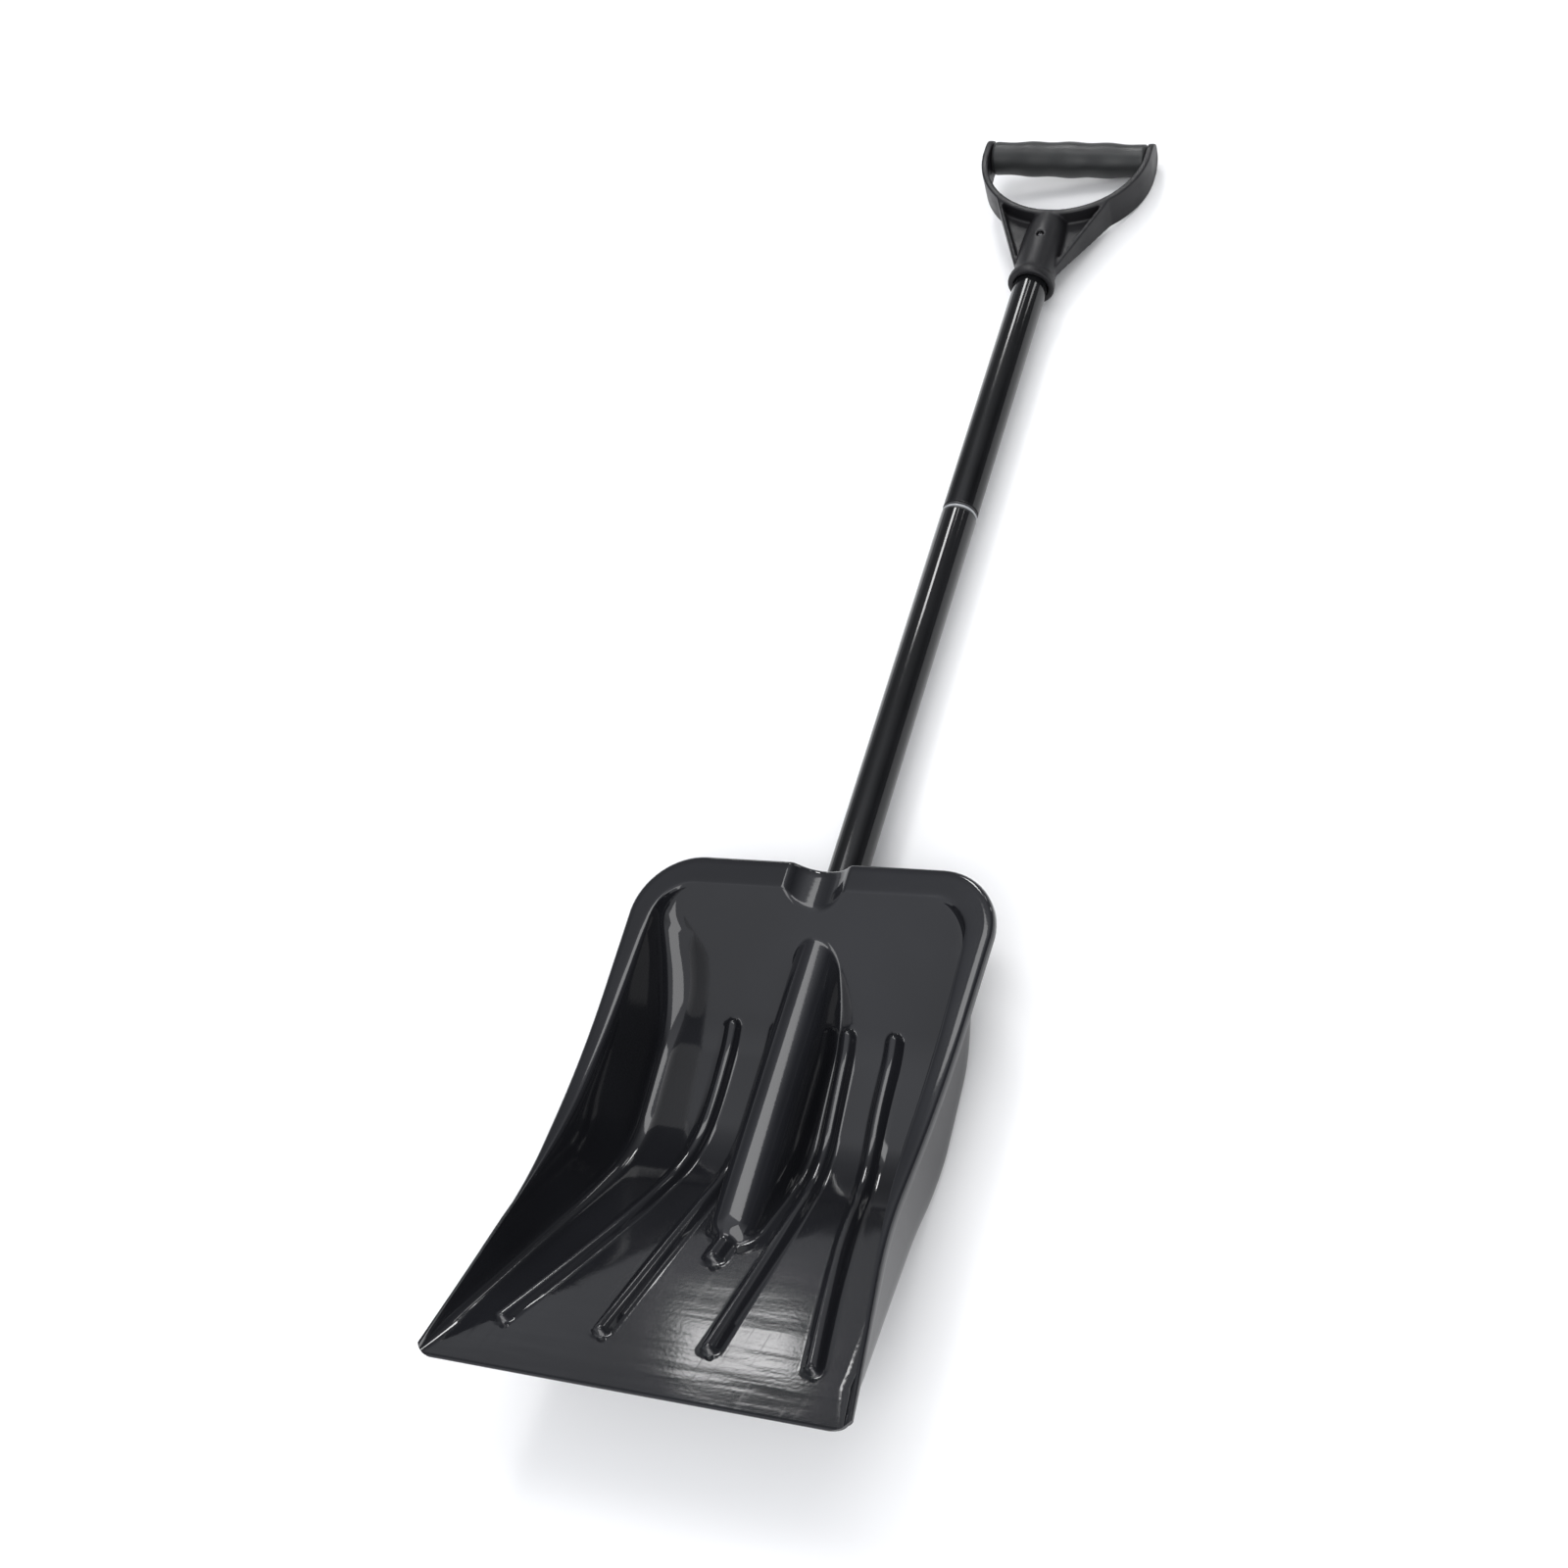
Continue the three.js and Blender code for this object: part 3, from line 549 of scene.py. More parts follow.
LEVEL_STEPS = np.linspace(-5, SCOOP_LENGTH + 5, 1500)
LEVEL_LENGTHS = np.hypot(np.diff(LEVEL_STEPS), np.diff(panel_level(LEVEL_STEPS)))
ARC_LENGTHS = np.concatenate([[0], np.cumsum(LEVEL_LENGTHS)])


def along_panel(y):
    """Distance along the scoop's middle line, over its bends."""
    return np.interp(y, LEVEL_STEPS, ARC_LENGTHS)


def distance_to(path, x, y, samples=160):
    """Distance over the panel's surface from points to a curve that is given in plan."""
    line = spline(path, samples)
    line = np.stack([line[:, 0], along_panel(line[:, 1])], -1)
    starts = line[:-1]
    steps = np.diff(line, axis=0)
    point = np.stack([x, along_panel(y)], -1)
    nearest = np.full(x.shape, np.inf)
    for start, step in zip(starts, steps):
        offset = point - start
        t = np.clip((offset @ step) / (step @ step), 0, 1)
        nearest = np.minimum(nearest, np.hypot(*np.moveaxis(offset - t[..., None] * step, -1, 0)))
    return nearest


def bead_profile(distance, height, crest, flank, foot):
    """A bead's section: a round crest, a straight flank at an angle, and a round foot."""
    crest_width = crest * math.sin(flank)
    crest_drop = crest * (1 - math.cos(flank))
    foot_width = foot * math.sin(flank)
    foot_rise = foot * (1 - math.cos(flank))
    flank_width = max(0, height - crest_drop - foot_rise) / math.tan(flank)
    edge = crest_width + flank_width + foot_width
    top = height - crest + np.sqrt(np.maximum(0, crest**2 - distance**2))
    side = height - crest_drop - (distance - crest_width) * math.tan(flank)
    base = foot - np.sqrt(np.maximum(0, foot**2 - np.maximum(0, edge - distance) ** 2))
    level = np.where(distance < crest_width, top, np.where(distance < crest_width + flank_width, side, base))
    return np.where(distance < edge, level, 0)


def relief(x, y):
    """Height of the ribs and the toe bead over the plain panel."""
    tilt = np.sqrt(1 + panel_slope(y) ** 2)
    half = np.abs(x)
    height = np.zeros_like(x)
    for path in (OUTER_RIB, INNER_RIB):
        rib = bead_profile(distance_to(path, half, y), RIB_HEIGHT, 4.6, math.radians(62), 2.6)
        height = np.maximum(height, rib)
    toe_path = ((0, TOE_START), (0, (TOE_START + TOE_END) / 2), (0, TOE_END))
    toe = bead_profile(distance_to(toe_path, half, y, 30), TOE_HEIGHT, 5.2, math.radians(62), 3)
    return np.maximum(height, toe) * tilt


def socket_distance(x, y, z):
    """Distance outside the socket's round top and drafted sides, with a round nose at its toe."""
    reach = np.hypot(x, np.minimum(0, y - SOCKET_TOE))
    shoulder = SOCKET_RADIUS * 0.06
    sides = (reach - SOCKET_RADIUS) * math.cos(SOCKET_DRAFT) + (z - shoulder) * math.sin(SOCKET_DRAFT)
    return np.where(z > shoulder, np.hypot(reach, z) - SOCKET_RADIUS, sides)


def with_socket(x, y, base):
    """Level of the panel joined to the socket by a soft fillet, found by halving the interval."""
    tilt = 1 / np.sqrt(1 + panel_slope(y) ** 2)
    fillet = np.interp(y, (200, 290), SOCKET_FILLET[::-1])
    low = base - 1
    high = np.maximum(base, 0) + SOCKET_RADIUS + 2
    for _ in range(40):
        middle = (low + high) / 2
        socket = socket_distance(x, y, middle)
        panel = (middle - base) * tilt
        near = np.maximum(0, fillet - np.abs(socket - panel))
        outside = np.minimum(socket, panel) - near**2 / (4 * fillet) > 0
        high = np.where(outside, middle, high)
        low = np.where(outside, low, middle)
    return (low + high) / 2


# ---- Scoop: the sheet ------------------------------------------------------------------------------

SIDE_STEPS = 230
CORNER_STEPS = 16
SOCKET_LINES = 26
BETWEEN_LINES = (11, 36, 19)
HALF_LINES = SOCKET_LINES + sum(BETWEEN_LINES)
TOP_STEPS = HALF_LINES - CORNER_STEPS // 2
HALF_STEPS = SIDE_STEPS + CORNER_STEPS + TOP_STEPS
GRID_CORNER = SIDE_STEPS + CORNER_STEPS // 2


def socket_lines():
    """Places across the socket: even round its arc, close together down its sides, then opening out."""
    arc = SOCKET_RADIUS * np.sin(np.linspace(0, math.radians(84), 13))
    side = np.linspace(SOCKET_RADIUS, 18.2, 6)
    fillet = np.linspace(18.9, 23.5, SOCKET_LINES + 1 - len(arc) - len(side))
    return np.concatenate([arc, side, fillet])


def line_places(y, edge):
    """X of each of the sheet's lengthwise lines at height y, from the middle to the foot of the wall."""
    lines = socket_lines()
    stretch = min(y, INNER_RIB[0][1])
    inner = np.interp(stretch, *np.array(sorted((b, a) for a, b in spline(INNER_RIB, 60))).T) + 6
    outer = np.interp(stretch, *np.array(sorted((b, a) for a, b in spline(OUTER_RIB, 60))).T)
    knots = [lines[-1], max(inner, lines[-1] + 6), outer, edge]
    for start, end, count in zip(knots, knots[1:], BETWEEN_LINES):
        lines = np.concatenate([lines, np.linspace(start, end, count + 1)[1:]])
    return lines


def top_fractions():
    """The same lines as shares of the rim's straight top stretch, from the corner to the middle."""
    lines = line_places(BROW_TOP - INNER_CORNER, 92)[: TOP_STEPS + 1]
    return (lines / lines[-1])[::-1]


TOP_FRACTIONS = top_fractions()


def outline_point(step, half_width, top, corner):
    """A point on one of the rim's outlines, from the front to the brow's middle, and its way inwards."""
    straight = top - corner
    centre = float(half_width(np.array(straight))) - corner
    if step <= SIDE_STEPS:
        y = FRONT_SETBACK + (straight - FRONT_SETBACK) * step / SIDE_STEPS
        return float(half_width(np.array(y))), y, -1, 0
    if step <= SIDE_STEPS + CORNER_STEPS:
        angle = (step - SIDE_STEPS) / CORNER_STEPS * math.pi / 2
        out_x, out_y = math.cos(angle), math.sin(angle)
        return centre + corner * out_x, straight + corner * out_y, -out_x, -out_y
    return centre * TOP_FRACTIONS[step - SIDE_STEPS - CORNER_STEPS], top, 0, -1


BEND_STEPS = 5
BAND_STEPS = 6
WALL_STEPS = 12
FILLET_STEPS = 10
INNER_EDGE = 2 + BEND_STEPS + BAND_STEPS


def rim_column(step):
    """One column of the sheet: the lip, the flat band, the wall and its fillet down to the panel."""
    ix, iy, ix_in, iy_in = outline_point(step, inner_half_width, BROW_TOP, INNER_CORNER)
    ox, oy, ox_in, oy_in = outline_point(step, outer_half_width, SCOOP_LENGTH, OUTER_CORNER)
    growth = min(1, oy / 90)
    bend = LIP_BEND * (0.15 + 0.85 * growth)
    fade = 0.32 + 0.68 * growth
    column = []

    def add(x, y, level):
        column.append((x, y, float(level(np.array(y)))))

    def lip(inset, drop):
        add(ox + ox_in * inset, oy + oy_in * inset, lambda y: rim_level(y) - drop * fade)

    for drop in np.linspace(LIP_DROP - EDGE_ROUND, LIP_BEND, 4)[:-1]:
        lip(0, drop)
    for angle in np.linspace(0, math.pi / 2, BEND_STEPS):
        lip(bend * (1 - math.cos(angle)), LIP_BEND * (1 - math.sin(angle)))
    start = (ox + ox_in * bend, oy + oy_in * bend)
    for share in (0.2, 0.4, 0.6, 0.8, 0.93, 1):
        add(start[0] + (ix - start[0]) * share, start[1] + (iy - start[1]) * share, rim_level)
    height = max(0.0, float(rim_level(np.array(iy)) - panel_level(np.array(iy))))
    browness = min(1, max(0, (iy - 235) / 50))
    full = WALL_FILLET + (BROW_FILLET - WALL_FILLET) * browness**2 * (3 - 2 * browness)
    fillet = min(full, 0.8 * height)
    foot = WALL_DRAFT * height
    fillet_top = WALL_DRAFT * (height - fillet)
    spread = 0.1 * (1 - min(1, height / 14))
    rises = np.concatenate([[0.05, 0.1, 0.16], np.linspace(0.24, 1, WALL_STEPS - 3)])
    for i, share in enumerate(rises):
        rise = height - (height - fillet) * share
        inset = fillet_top * share + (spread + 0.04) * (i + 1)
        add(ix + ix_in * inset, iy + iy_in * inset, lambda y, rise=rise: panel_level(y) + rise)
    for i, t in enumerate(np.linspace(0, 1, FILLET_STEPS + 1)[1:]):
        inset = fillet_top * (1 - t) ** 2 + 2 * t * (1 - t) * foot + t**2 * (foot + fillet + 2)
        inset += (spread + 0.04) * WALL_STEPS + (spread + 0.04) * (i + 1)
        rise = fillet * (1 - t) ** 2
        add(ix + ix_in * inset, iy + iy_in * inset, lambda y, rise=rise: panel_level(y) + rise)
    return column


def soften(columns, first, last, rounds):
    """Rounds off the rim's inner edge by relaxing the rows round it along each column."""
    for _ in range(rounds):
        middle = columns[:, first:last]
        columns[:, first:last] = (
            middle / 2 + columns[:, first - 1 : last - 1] / 4 + columns[:, first + 1 : last + 1] / 4
        )
    return columns


def scoop_sheet():
    """The scoop's plain upper face as points and quads: columns round the rim and a grid on the panel."""
    half = np.array([rim_column(step) for step in range(HALF_STEPS + 1)])
    half = soften(half, INNER_EDGE - 3, INNER_EDGE + 5, 5)
    columns = np.concatenate([half, half[:-1][::-1] * (-1, 1, 1)])
    count, rows = columns.shape[:2]
    points = [columns.reshape(-1, 3)]
    index = np.arange(count * rows).reshape(count, rows)
    faces = [grid_faces(count, rows, False)]
    edge = index[:, -1]
    lines = 2 * HALF_LINES
    grid = np.zeros((GRID_CORNER + 1, lines + 1), int)
    corner = columns[GRID_CORNER, -1]
    top = columns[GRID_CORNER : GRID_CORNER + lines + 1, -1]
    rim = np.tile(np.arange(rows) <= 2 + BEND_STEPS, count)
    corner_lines = line_places(corner[1], corner[0])
    corner_row = np.concatenate([corner_lines[::-1], -corner_lines[1:]])
    inside = []
    total = count * rows
    for v in range(GRID_CORNER + 1):
        grid[v, 0] = edge[v]
        grid[v, -1] = edge[count - 1 - v]
        if v == GRID_CORNER:
            grid[v, 1:-1] = edge[GRID_CORNER + 1 : GRID_CORNER + lines]
            continue
        places = line_places(columns[v, -1, 1], columns[v, -1, 0])
        row = np.concatenate([places[::-1], -places[1:]])
        pull = (v / GRID_CORNER) ** 6
        x = row + pull * (top[:, 0] - corner_row)
        y = columns[v, -1, 1] + pull * (top[:, 1] - corner[1])
        inside.append(np.stack([x, y, panel_level(y)], -1)[1:-1])
        grid[v, 1:-1] = total + np.arange(lines - 1)
        total += lines - 1
    points.append(np.concatenate(inside))
    quads = np.stack([grid[:-1, :-1], grid[1:, :-1], grid[1:, 1:], grid[:-1, 1:]], -1)
    faces.append(quads.reshape(-1, 4))
    faces[0] = faces[0][:, [0, 3, 2, 1]]
    points = np.concatenate(points)
    rim = np.concatenate([rim, np.zeros(len(points) - len(rim), bool)])
    return points, np.concatenate(faces), rim, count * rows


def sheet_normals(points, faces):
    diagonals = points[faces[:, 2]] - points[faces[:, 0]], points[faces[:, 3]] - points[faces[:, 1]]
    face = np.cross(*diagonals)
    normals = np.zeros_like(points)
    for corner in range(4):
        np.add.at(normals, faces[:, corner], face)
    return normals / np.linalg.norm(normals, axis=1, keepdims=True)


def border_of(faces):
    """The sheet's open edge as directed vertex pairs."""
    pairs = np.concatenate([faces[:, [i, (i + 1) % 4]] for i in range(4)])
    known = {tuple(pair) for pair in pairs.tolist()}
    return np.array([pair for pair in pairs.tolist() if (pair[1], pair[0]) not in known])


def ground_level(y):
    """Height of the ground under the shovel's middle line, in the shovel's own frame."""
    height = front_edge.z / MM + up_shaft.z * y
    return 0.02 - height / across.cross(up_shaft).z


def thicken(name, plain, shaped, faces):
    """Closes the space from the shaped face down to the plain one's underside, with a round edge."""
    normals = sheet_normals(plain, faces)
    if normals[:, 2].mean() < 0:
        normals = -normals
        faces = faces[:, ::-1]
    x, y = np.abs(plain[:, 0]), plain[:, 1]
    inset = np.minimum(y, 4 + np.minimum(outer_half_width(y) - x, SCOOP_LENGTH - y))
    wall = WALL * np.interp(inset, (0, EDGE_TAPER), (EDGE_SHARE, 1))
    under = plain - normals * wall[:, None]
    under[:, 1] = np.maximum(under[:, 1], 0)
    under[:, 2] = np.maximum(under[:, 2], ground_level(under[:, 1]))
    count = len(plain)
    border = border_of(faces)
    ring = border[:, 0]
    following = dict(border.tolist())
    tangent = np.zeros_like(plain)
    for a, b in border:
        step = plain[b] - plain[a]
        step = step / max(np.linalg.norm(step), 1e-9)
        tangent[a] += step
        tangent[b] += step
    outward = np.cross(tangent[ring], normals[ring])
    outward /= np.maximum(np.linalg.norm(outward, axis=1, keepdims=True), 1e-9)
    points = [shaped, under]
    strips = [ring]
    total = 2 * count
    slot_of = {vertex: i for i, vertex in enumerate(ring.tolist())}
    for angle in np.linspace(0, math.pi, 7)[1:-1]:
        depth = (1 - math.cos(angle)) / 2
        strip = shaped[ring] * (1 - depth) + under[ring] * depth + outward * EDGE_ROUND * math.sin(angle)
        points.append(strip)
        strips.append(np.arange(total, total + len(ring)))
        total += len(ring)
    strips.append(ring + count)
    after = np.array([slot_of[following[vertex]] for vertex in ring.tolist()])
    closing = [np.stack([a[after], a, b, b[after]], -1) for a, b in zip(strips, strips[1:])]
    quads = np.concatenate([faces, faces[:, ::-1] + count, *closing])
    points = np.concatenate(points)
    points[:, 2] = np.minimum(points[:, 2], EDGE_DEPTH - 0.05)
    return mesh_object(name, points, quads)


def front_corner(side):
    """What is cut away to round one front corner."""
    width = float(outer_half_width(np.array(0)))
    middle = width - FRONT_CORNER
    turn = np.linspace(0, math.pi / 2, 24)
    arc = [(side * (middle + FRONT_CORNER * math.sin(a)), FRONT_CORNER * (1 - math.cos(a))) for a in turn]
    beyond = [(side * (width + 5), FRONT_CORNER), (side * (width + 5), -5), (side * middle, -5)]
    return prism("front_corner", arc + beyond, -40, 120)


def make_scoop():
    plain, faces, rim, rim_count = scoop_sheet()
    shaped = plain.copy()
    inside = shaped[rim_count:]
    x, y = inside[:, 0], inside[:, 1]
    inside[:, 2] = with_socket(x, y, inside[:, 2] + relief(x, y))
    for surface in (plain, shaped):
        with_groove(surface, rim)
    scoop = clean(thicken("scoop_body", plain, shaped, faces))
    tunnel = rounded([(0, SOCKET_TOE), (SOCKET_RADIUS - 0.2, SOCKET_TOE), (SOCKET_RADIUS - 0.2, SOCKET_MOUTH),
                      (0, SOCKET_MOUTH)], 1.5)
    parts = [revolve("tunnel", tunnel, 128)]
    gusset = ((286, -4), (286, -8), (332, 8), (343, 20), (343, 26), (332, 26), (300, 5))
    for place in (-GUSSET_PLACE, GUSSET_PLACE):
        parts.append(prism("gusset", gusset, place - GUSSET_HALF_WIDTH, place + GUSSET_HALF_WIDTH, "yzx"))
    combine(scoop, parts, "UNION")
    bore = [(0, SOCKET_TOE - 1), (SOCKET_BORE, SOCKET_TOE - 1), (SOCKET_BORE, SOCKET_MOUTH - 2),
            (SOCKET_BORE + 1.6, SOCKET_MOUTH + 0.5), (SOCKET_BORE + 1.6, 400), (0, 400)]
    cuts = [revolve("bore", bore, 128)]
    pitch = (POCKET_END - POCKET_START + POCKET_RIB) / POCKET_COUNT
    for i in range(POCKET_COUNT):
        start = POCKET_START + i * pitch
        end = start + pitch - POCKET_RIB
        outline = rounded([(-POCKET_HALF_WIDTH, start), (POCKET_HALF_WIDTH, start), (POCKET_HALF_WIDTH, end),
                           (-POCKET_HALF_WIDTH, end)], 3, 6, closed=True)
        cuts.append(prism("pocket", outline, -60, -SOCKET_RADIUS))
    for height in SCOOP_SCREWS:
        cuts.append(side_hole("screw_hole", height, SCOOP_SCREW_RADIUS + GAP, -1))
    cuts += [front_corner(side) for side in (-1, 1)]
    combine(scoop, cuts, "DIFFERENCE")
    return clean(scoop)


# ---- Shaft -----------------------------------------------------------------------------------------


def tube(name, start, end, holes):
    outline = rounded([(TUBE_BORE, start), (TUBE_RADIUS, start), (TUBE_RADIUS, end), (TUBE_BORE, end)],
                      0.45, 4, closed=True)
    body = revolve(name, outline, 144, closed=True)
    return combine(body, holes, "DIFFERENCE") if holes else body


def thread_wave(start, end, root, crest, half_width):
    """A right-handed ridge of the thread's pitch between two heights, fading out at both ends."""

    def wave(radius, height, angle):
        phase = (height - start) / THREAD_PITCH - angle / (2 * np.pi)
        off = np.abs(phase - np.round(phase))
        ridge = np.clip((half_width - off) / THREAD_FLANK, 0, 1)
        ridge = ridge**2 * (3 - 2 * ridge)
        ends = np.clip((height - start) / THREAD_PITCH, 0, 1) * np.clip((end - height) / THREAD_PITCH, 0, 1)
        on_thread = (np.abs(radius - root) < 0.01) & (height > start) & (height < end)
        return np.where(on_thread, root + (crest - root) * ridge * np.minimum(1, 3 * ends), radius)

    return wave


SPIGOT_TIP = JOINT_HEIGHT + WASHER_THICKNESS + GAP - SPIGOT_LENGTH
THREAD_STEP = 0.25
THREAD_START = SPIGOT_TIP + 0.1

# Shares of the pitch
THREAD_FLANK = 0.18
RIDGE_HALF_WIDTH = 0.3
GROOVE_HALF_WIDTH = 0.37


def make_thread_plug():
    face = JOINT_HEIGHT + WASHER_THICKNESS + 2 * GAP
    top = face + COLLAR_THICKNESS
    insert = TUBE_BORE - GAP
    heights = np.arange(SPIGOT_TIP + 1.2, face - 0.8, THREAD_STEP)
    profile = [(0, SPIGOT_TIP), (THREAD_ROOT - 1.2, SPIGOT_TIP), *((THREAD_ROOT, y) for y in heights)]
    profile += rounded([(THREAD_ROOT, face), (COLLAR_RADIUS, face), (COLLAR_RADIUS, top), (insert, top),
                        (insert, top + INSERT_LENGTH), (0, top + INSERT_LENGTH)], 0.5, 4)
    wave = thread_wave(THREAD_START, face - 1, THREAD_ROOT, THREAD_CREST, RIDGE_HALF_WIDTH)
    return revolve("thread_plug_body", profile, 96, wave)


def make_thread_socket():
    flange = 1.2
    bottom = JOINT_HEIGHT - INSERT_LENGTH
    insert = TUBE_BORE - GAP
    under = JOINT_HEIGHT - flange - GAP
    mouth = JOINT_HEIGHT - GAP
    root = THREAD_CREST + THREAD_CLEARANCE
    bore = THREAD_ROOT + THREAD_CLEARANCE
    profile = rounded([(0, bottom), (insert, bottom), (insert, under), (COLLAR_RADIUS, under),
                       (COLLAR_RADIUS, mouth), (root + 0.1, mouth)], 0.4, 4)
    profile += [(bore, y) for y in np.arange(mouth - 0.8, SPIGOT_TIP - 2, -THREAD_STEP)]
    profile += [(bore - 1.5, SPIGOT_TIP - 5), (0, SPIGOT_TIP - 5)]
    wave = thread_wave(THREAD_START - THREAD_PITCH, mouth + 4, bore, root, GROOVE_HALF_WIDTH)
    return revolve("thread_socket_body", profile, 96, wave)


def make_washer():
    inner = THREAD_CREST + 0.6
    outer = TUBE_RADIUS - 0.35
    outline = rounded([(inner, JOINT_HEIGHT), (outer, JOINT_HEIGHT), (outer, JOINT_HEIGHT + WASHER_THICKNESS),
                       (inner, JOINT_HEIGHT + WASHER_THICKNESS)], 0.5, 5, closed=True)
    return revolve("joint_washer_ring", outline, 128, closed=True)


def make_screw(name, shank, head, head_height, reach):
    """A pan-head screw along Y with a cross recess, its head's seat at the origin."""
    core = shank * 0.72
    pitch = shank * 0.75
    tip = -reach + 2.4
    heights = np.arange(tip, -0.6, pitch / 10)
    profile = [(0, -reach), (core * 0.4, -reach + 0.8), *((core, y) for y in heights)]
    profile += rounded([(core, -0.3), (shank, 0), (head, 0), (head, head_height * 0.6, 0.8),
                        (head * 0.62, head_height, 1.2), (0, head_height)], 0.2, 5)

    def wave(radius, height, angle):
        phase = height / pitch - angle / (2 * np.pi)
        off = np.abs(phase - np.round(phase))
        on_thread = (np.abs(radius - core) < 1e-6) & (height < -0.5)
        return np.where(on_thread, core + (shank - core) * np.clip(1 - off / 0.35, 0, 1), radius)

    screw = revolve(name, profile, 64, wave)
    arm = head * 0.55
    slot = head * 0.15
    depth = head_height * 0.45
    recess = [box("recess", (-arm, depth, -slot), (arm, head_height + 1, slot)),
              box("recess", (-slot, depth, -arm), (slot, head_height + 1, arm))]
    return combine(screw, recess, "DIFFERENCE")


# ---- Grip ------------------------------------------------------------------------------------------


def yoke_strap():
    """The D's flat strap, with its ends rounded about the bar."""
    outer = YOKE_RADIUS + YOKE_STRAP
    top = BAR_HEIGHT + YOKE_DEPTH / 2 - 1
    turn = np.linspace(math.pi, 2 * math.pi, 72)
    outline = [(-outer, top)]
    outline += [(outer * math.cos(a), YOKE_CENTRE + outer * math.sin(a)) for a in turn]
    outline += [(outer, top), (YOKE_RADIUS, top)]
    outline += [(YOKE_RADIUS * math.cos(a), YOKE_CENTRE + YOKE_RADIUS * math.sin(a)) for a in turn[::-1]]
    outline += [(-YOKE_RADIUS, top)]
    strap = prism("yoke_strap", outline, -YOKE_DEPTH / 2, YOKE_DEPTH / 2)
    keep = combine(box("keep", (-80, 900, -20), (80, BAR_HEIGHT, 20)),
                   [cross_bar("keep_end", YOKE_DEPTH / 2, 80, BAR_HEIGHT)], "UNION")
    return combine(strap, [keep], "INTERSECT")


def yoke_brace(side):
    """One side's brace: a plate in the middle plane, edged by a flange that narrows to the socket."""
    web = [(side * x, y) for x, y in ((10, 886), (15, 887), (41, 943), (39, 946), (10, 933))]
    rail = [(side * x, y) for x, y in ((12.2, 884), (15.5, 882.4), (43.0, 944.4), (40.5, 945.6))]
    taper = ((870, -2.6), (944, -12.4), (950, -12.4), (950, 12.4), (944, 12.4), (870, 2.6))
    flange = prism("flange", rail, -YOKE_DEPTH / 2, YOKE_DEPTH / 2)
    combine(flange, [prism("taper", taper, -80, 80, "yzx")], "INTERSECT")
    return [prism("web", web, -YOKE_WEB_HALF_WIDTH, YOKE_WEB_HALF_WIDTH), flange]


VOXEL = 0.75


def make_yoke():
    neck = YOKE_DEPTH / 2 + 0.2
    socket = rounded([(0, YOKE_MOUTH), (YOKE_COLLAR, YOKE_MOUTH, 1.2), (YOKE_COLLAR, YOKE_MOUTH + 5.4, 2),
                      (YOKE_SOCKET, YOKE_MOUTH + 10, 5), (YOKE_SOCKET, 915, 9), (neck, 931, 9), (neck, 940),
                      (0, 940)], 1, 8)
    room = revolve("hand_room", [(0, -40), (YOKE_RADIUS, -40), (YOKE_RADIUS, 40), (0, 40)], 160)
    turned(room, Matrix.Translation((0, YOKE_CENTRE, 0)) @ Matrix.Rotation(math.pi / 2, 4, "X"))
    yoke = revolve("grip_yoke_body", socket, 96)
    combine(yoke, yoke_brace(1) + yoke_brace(-1), "UNION")
    combine(yoke, [room], "DIFFERENCE")
    combine(yoke, [yoke_strap(), cross_bar("bar", BAR_CORE, YOKE_RADIUS + 1, BAR_HEIGHT)], "UNION")
    bore = [(0, YOKE_MOUTH - 5), (SOCKET_BORE, YOKE_MOUTH - 5), (SOCKET_BORE, UPPER_TUBE_END + GAP),
            (0, UPPER_TUBE_END + GAP)]
    hole = side_hole("grip_hole", GRIP_SCREW_HEIGHT, GRIP_HOLE, 1)
    combine(yoke, [revolve("bore", bore, 96), hole], "DIFFERENCE")
    remesh = yoke.modifiers.new("even", "REMESH")
    remesh.mode = "VOXEL"
    remesh.voxel_size = VOXEL
    smooth = yoke.modifiers.new("soften", "SMOOTH")
    smooth.factor = 0.5
    smooth.iterations = 9
    return apply_modifiers(yoke)


def make_sleeve():
    """The soft sleeve: four finger waves and softly rounded ends."""
    half = YOKE_RADIUS - 1
    inner = BAR_CORE + GAP
    steps = 160
    profile = [(inner, -half)]
    for i in range(steps + 1):
        share = -1 + 2 * i / steps
        crown = SLEEVE_CROWN * (1 - share**2) + SLEEVE_WAVE * math.cos(share * 4 * math.pi)
        pinch = 1.1 * max(0, 1 - (1 - abs(share)) * half / 2.2) ** 2
        profile.append((SLEEVE_RADIUS + crown - pinch, share * half))
    profile.append((inner, half))
    sleeve = revolve("grip_sleeve_body", profile, 96, closed=True)
    return turned(sleeve, Matrix.Translation((0, BAR_HEIGHT, 0)) @ Matrix.Rotation(-math.pi / 2, 4, "Z"))


# ---- Assembly --------------------------------------------------------------------------------------

plastic = scoop_finish()
enamel = enamel_finish()
insert = insert_finish()
steel = steel_finish()

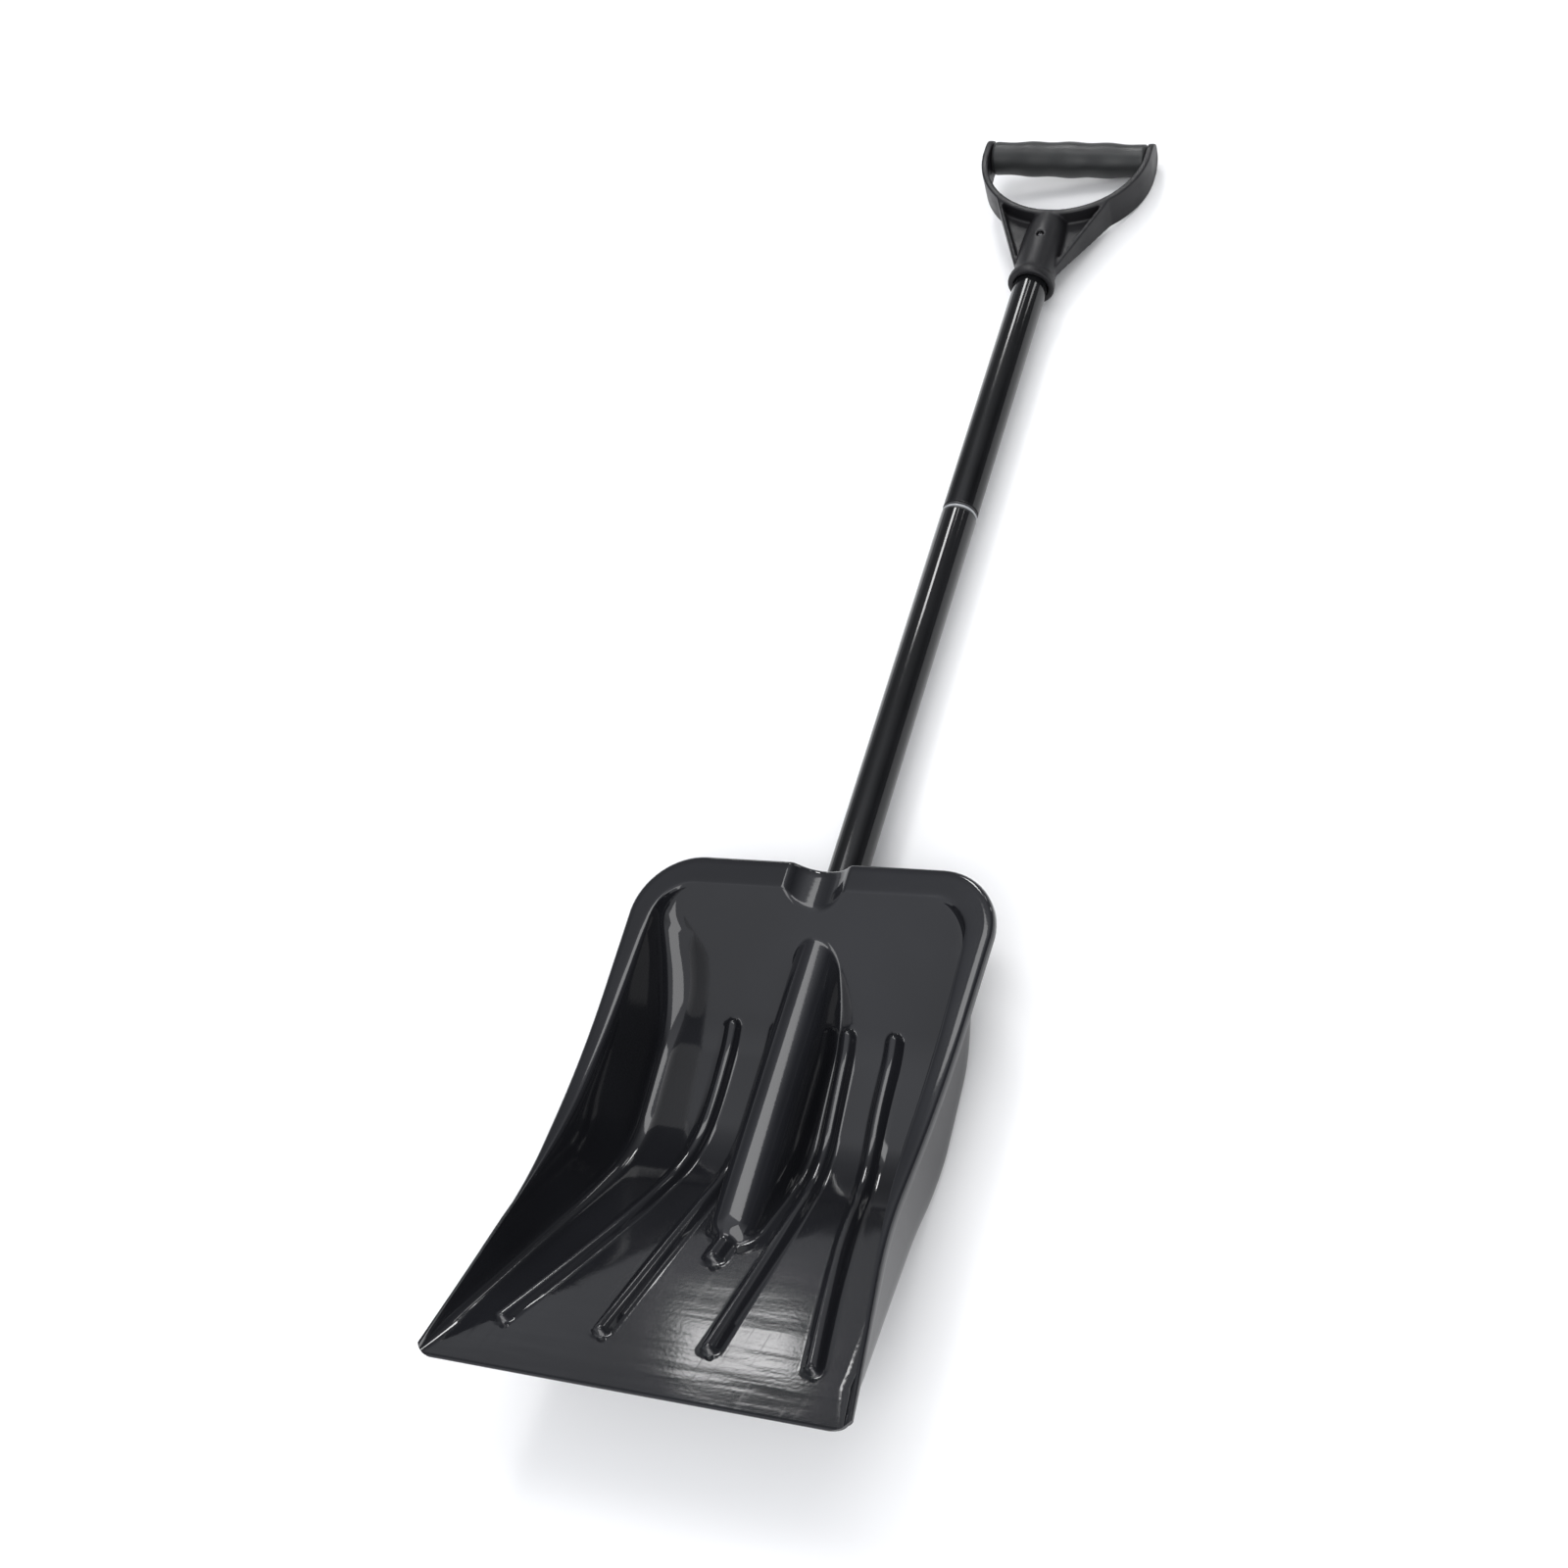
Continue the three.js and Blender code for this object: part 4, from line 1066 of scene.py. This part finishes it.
finish_piece(make_scoop(), SHOVEL, ROOT, plastic, ["scoop"], crease=38)
screw_holes = [side_hole("screw_hole", height, SCOOP_SCREW_RADIUS + GAP, -1) for height in SCOOP_SCREWS]
lower = tube("lower_tube_body", LOWER_TUBE_START, LOWER_TUBE_END, screw_holes)
finish_piece(lower, SHOVEL, ROOT, enamel, ["lower_tube"])
finish_piece(make_thread_socket(), SHOVEL, ROOT, insert, ["thread_socket"])
finish_piece(make_washer(), SHOVEL, WASHER, nylon_finish(), ["joint_washer"])
for height, node in zip(SCOOP_SCREWS, ("scoop_screw_lower", "scoop_screw_upper")):
    screw = make_screw(node + "_body", SCOOP_SCREW_RADIUS, head=3.6, head_height=2.2, reach=8.5)
    seat = Matrix.Translation((0, height, -SOCKET_RADIUS - GAP))
    turned(screw, seat @ Matrix.Rotation(-math.pi / 2, 4, "X"))
    finish_piece(screw, SHOVEL, ROOT, steel, [node])

upper_start = JOINT_HEIGHT + WASHER_THICKNESS + 3 * GAP + COLLAR_THICKNESS
grip_hole = side_hole("grip_hole", GRIP_SCREW_HEIGHT, GRIP_SCREW_RADIUS + GAP, 1)
upper = tube("upper_tube_body", upper_start, UPPER_TUBE_END, [grip_hole])
finish_piece(upper, GRIP, UPPER, enamel, ["upper_tube"])
finish_piece(make_thread_plug(), SHOVEL, UPPER, insert, ["thread_plug"])
finish_piece(make_yoke(), GRIP, UPPER, grip_finish(), ["grip_yoke"], crease=50)
finish_piece(make_sleeve(), GRIP, UPPER, rubber_finish(), ["grip_sleeve"])
grip_screw = make_screw("grip_screw_body", GRIP_SCREW_RADIUS, head=2.3, head_height=1.3, reach=5.5)
grip_seat = Matrix.Translation((0, GRIP_SCREW_HEIGHT, TUBE_RADIUS + GAP))
turned(grip_screw, grip_seat @ Matrix.Rotation(math.pi / 2, 4, "X"))
finish_piece(grip_screw, GRIP, UPPER, steel, ["grip_screw"])


# ---- Studio ----------------------------------------------------------------------------------------


def make_camera():
    data = bpy.data.cameras.new("camera")
    data.lens = LENS
    data.sensor_width = SENSOR
    camera = bpy.data.objects.new("camera", data)
    bpy.context.scene.collection.objects.link(camera)
    back = (CAMERA_PLACE - CAMERA_AIM).normalized()
    right = CAMERA_UP.cross(back).normalized()
    camera.matrix_world = Matrix((right, back.cross(right), back)).transposed().to_4x4()
    camera.location = CAMERA_PLACE
    bpy.context.scene.camera = camera


def make_floor():
    floor = mesh_object("studio_floor", [(-9, -9, 0), (9, -9, 0), (9, 9, 0), (-9, 9, 0)], [(0, 1, 2, 3)])
    pale = Finish("studio_pale", 0.9)
    pale.colour(pale.ramp(pale.noise(2, 2), 0.3, 0.7), (0.86, 0.86, 0.86), (0.88, 0.88, 0.88))
    floor.data.materials.append(pale.material)


def soft_light(name, place, azimuth, elevation, distance, width, height, radiance):
    """A rectangle of light that faces a place. Azimuth 0 is the way the shaft points, 90 is to its right."""
    turn, rise = math.radians(azimuth), math.radians(elevation)
    way = Vector((math.sin(turn) * math.cos(rise), math.cos(turn) * math.cos(rise), math.sin(rise)))
    data = bpy.data.lights.new(name, "AREA")
    data.shape = "RECTANGLE"
    data.size = width
    data.size_y = height
    data.energy = radiance * math.pi * width * height
    light = bpy.data.objects.new(name, data)
    bpy.context.scene.collection.objects.link(light)
    light.location = place + way * distance
    light.rotation_euler = (-way).to_track_quat("-Z", "Y").to_euler()


def make_world():
    """A pale room: bright above and in front, darker low down behind the shovel and to its right."""
    world = bpy.data.worlds.new("studio")
    bpy.context.scene.world = world
    world.use_nodes = True
    room = Network(world.node_tree, "Generated")
    height = room.along("Z")
    ramp = room.nodes.new("ShaderNodeValToRGB")
    stops = ((0, 0.4), (0.19, 0.62), (0.3, 0.3), (0.5, 0.22),
             (0.7, 0.36), (0.8, 0.58), (0.88, 1.02), (1, 1.1))
    for place, value in stops[1:-1]:
        ramp.color_ramp.elements.new(place)
    for stop, (place, value) in zip(ramp.color_ramp.elements, stops):
        stop.position = place
        stop.color = (value, value, value, 1)
    room.links.new(height, ramp.inputs["Fac"])
    right = room.math("MULTIPLY", room.ramp(room.along("X"), 0.35, 0.7), room.ramp(height, 0.8, 0.5))
    behind = room.math("MULTIPLY", ramp.outputs["Color"], room.ramp(right, 0, 1, 1, 0.35))
    front = room.ramp(room.along("Y"), 0.1, -0.4)
    kept = room.math("MULTIPLY", behind, room.math("SUBTRACT", 1, front))
    strength = room.math("ADD", kept, room.math("MULTIPLY", front, 0.92))
    background = world.node_tree.nodes["Background"]
    background.inputs["Color"].default_value = (0.96, 0.98, 1.03, 1)
    room.links.new(strength, background.inputs["Strength"])


make_camera()
make_floor()
make_world()
soft_light("overhead", SCOOP_PLACE, 15, 68, 3.0, 3.0, 0.8, 3.8)
soft_light("window", SCOOP_PLACE, -27.9, 12.1, 4.0, 0.27, 0.11, 11)
soft_light("front", SCOOP_PLACE, 150, 45, 3.0, 2.4, 2.4, 3.2)
soft_light("grip_left", GRIP_PLACE, -14, 46, 3.0, 0.5, 0.9, 18)
soft_light("grip_middle", GRIP_PLACE, 11, 42, 3.0, 0.22, 0.4, 7)
soft_light("grip_right", GRIP_PLACE, 37, 22, 3.0, 0.22, 0.6, 7)
bpy.context.scene.view_settings.view_transform = "Standard"
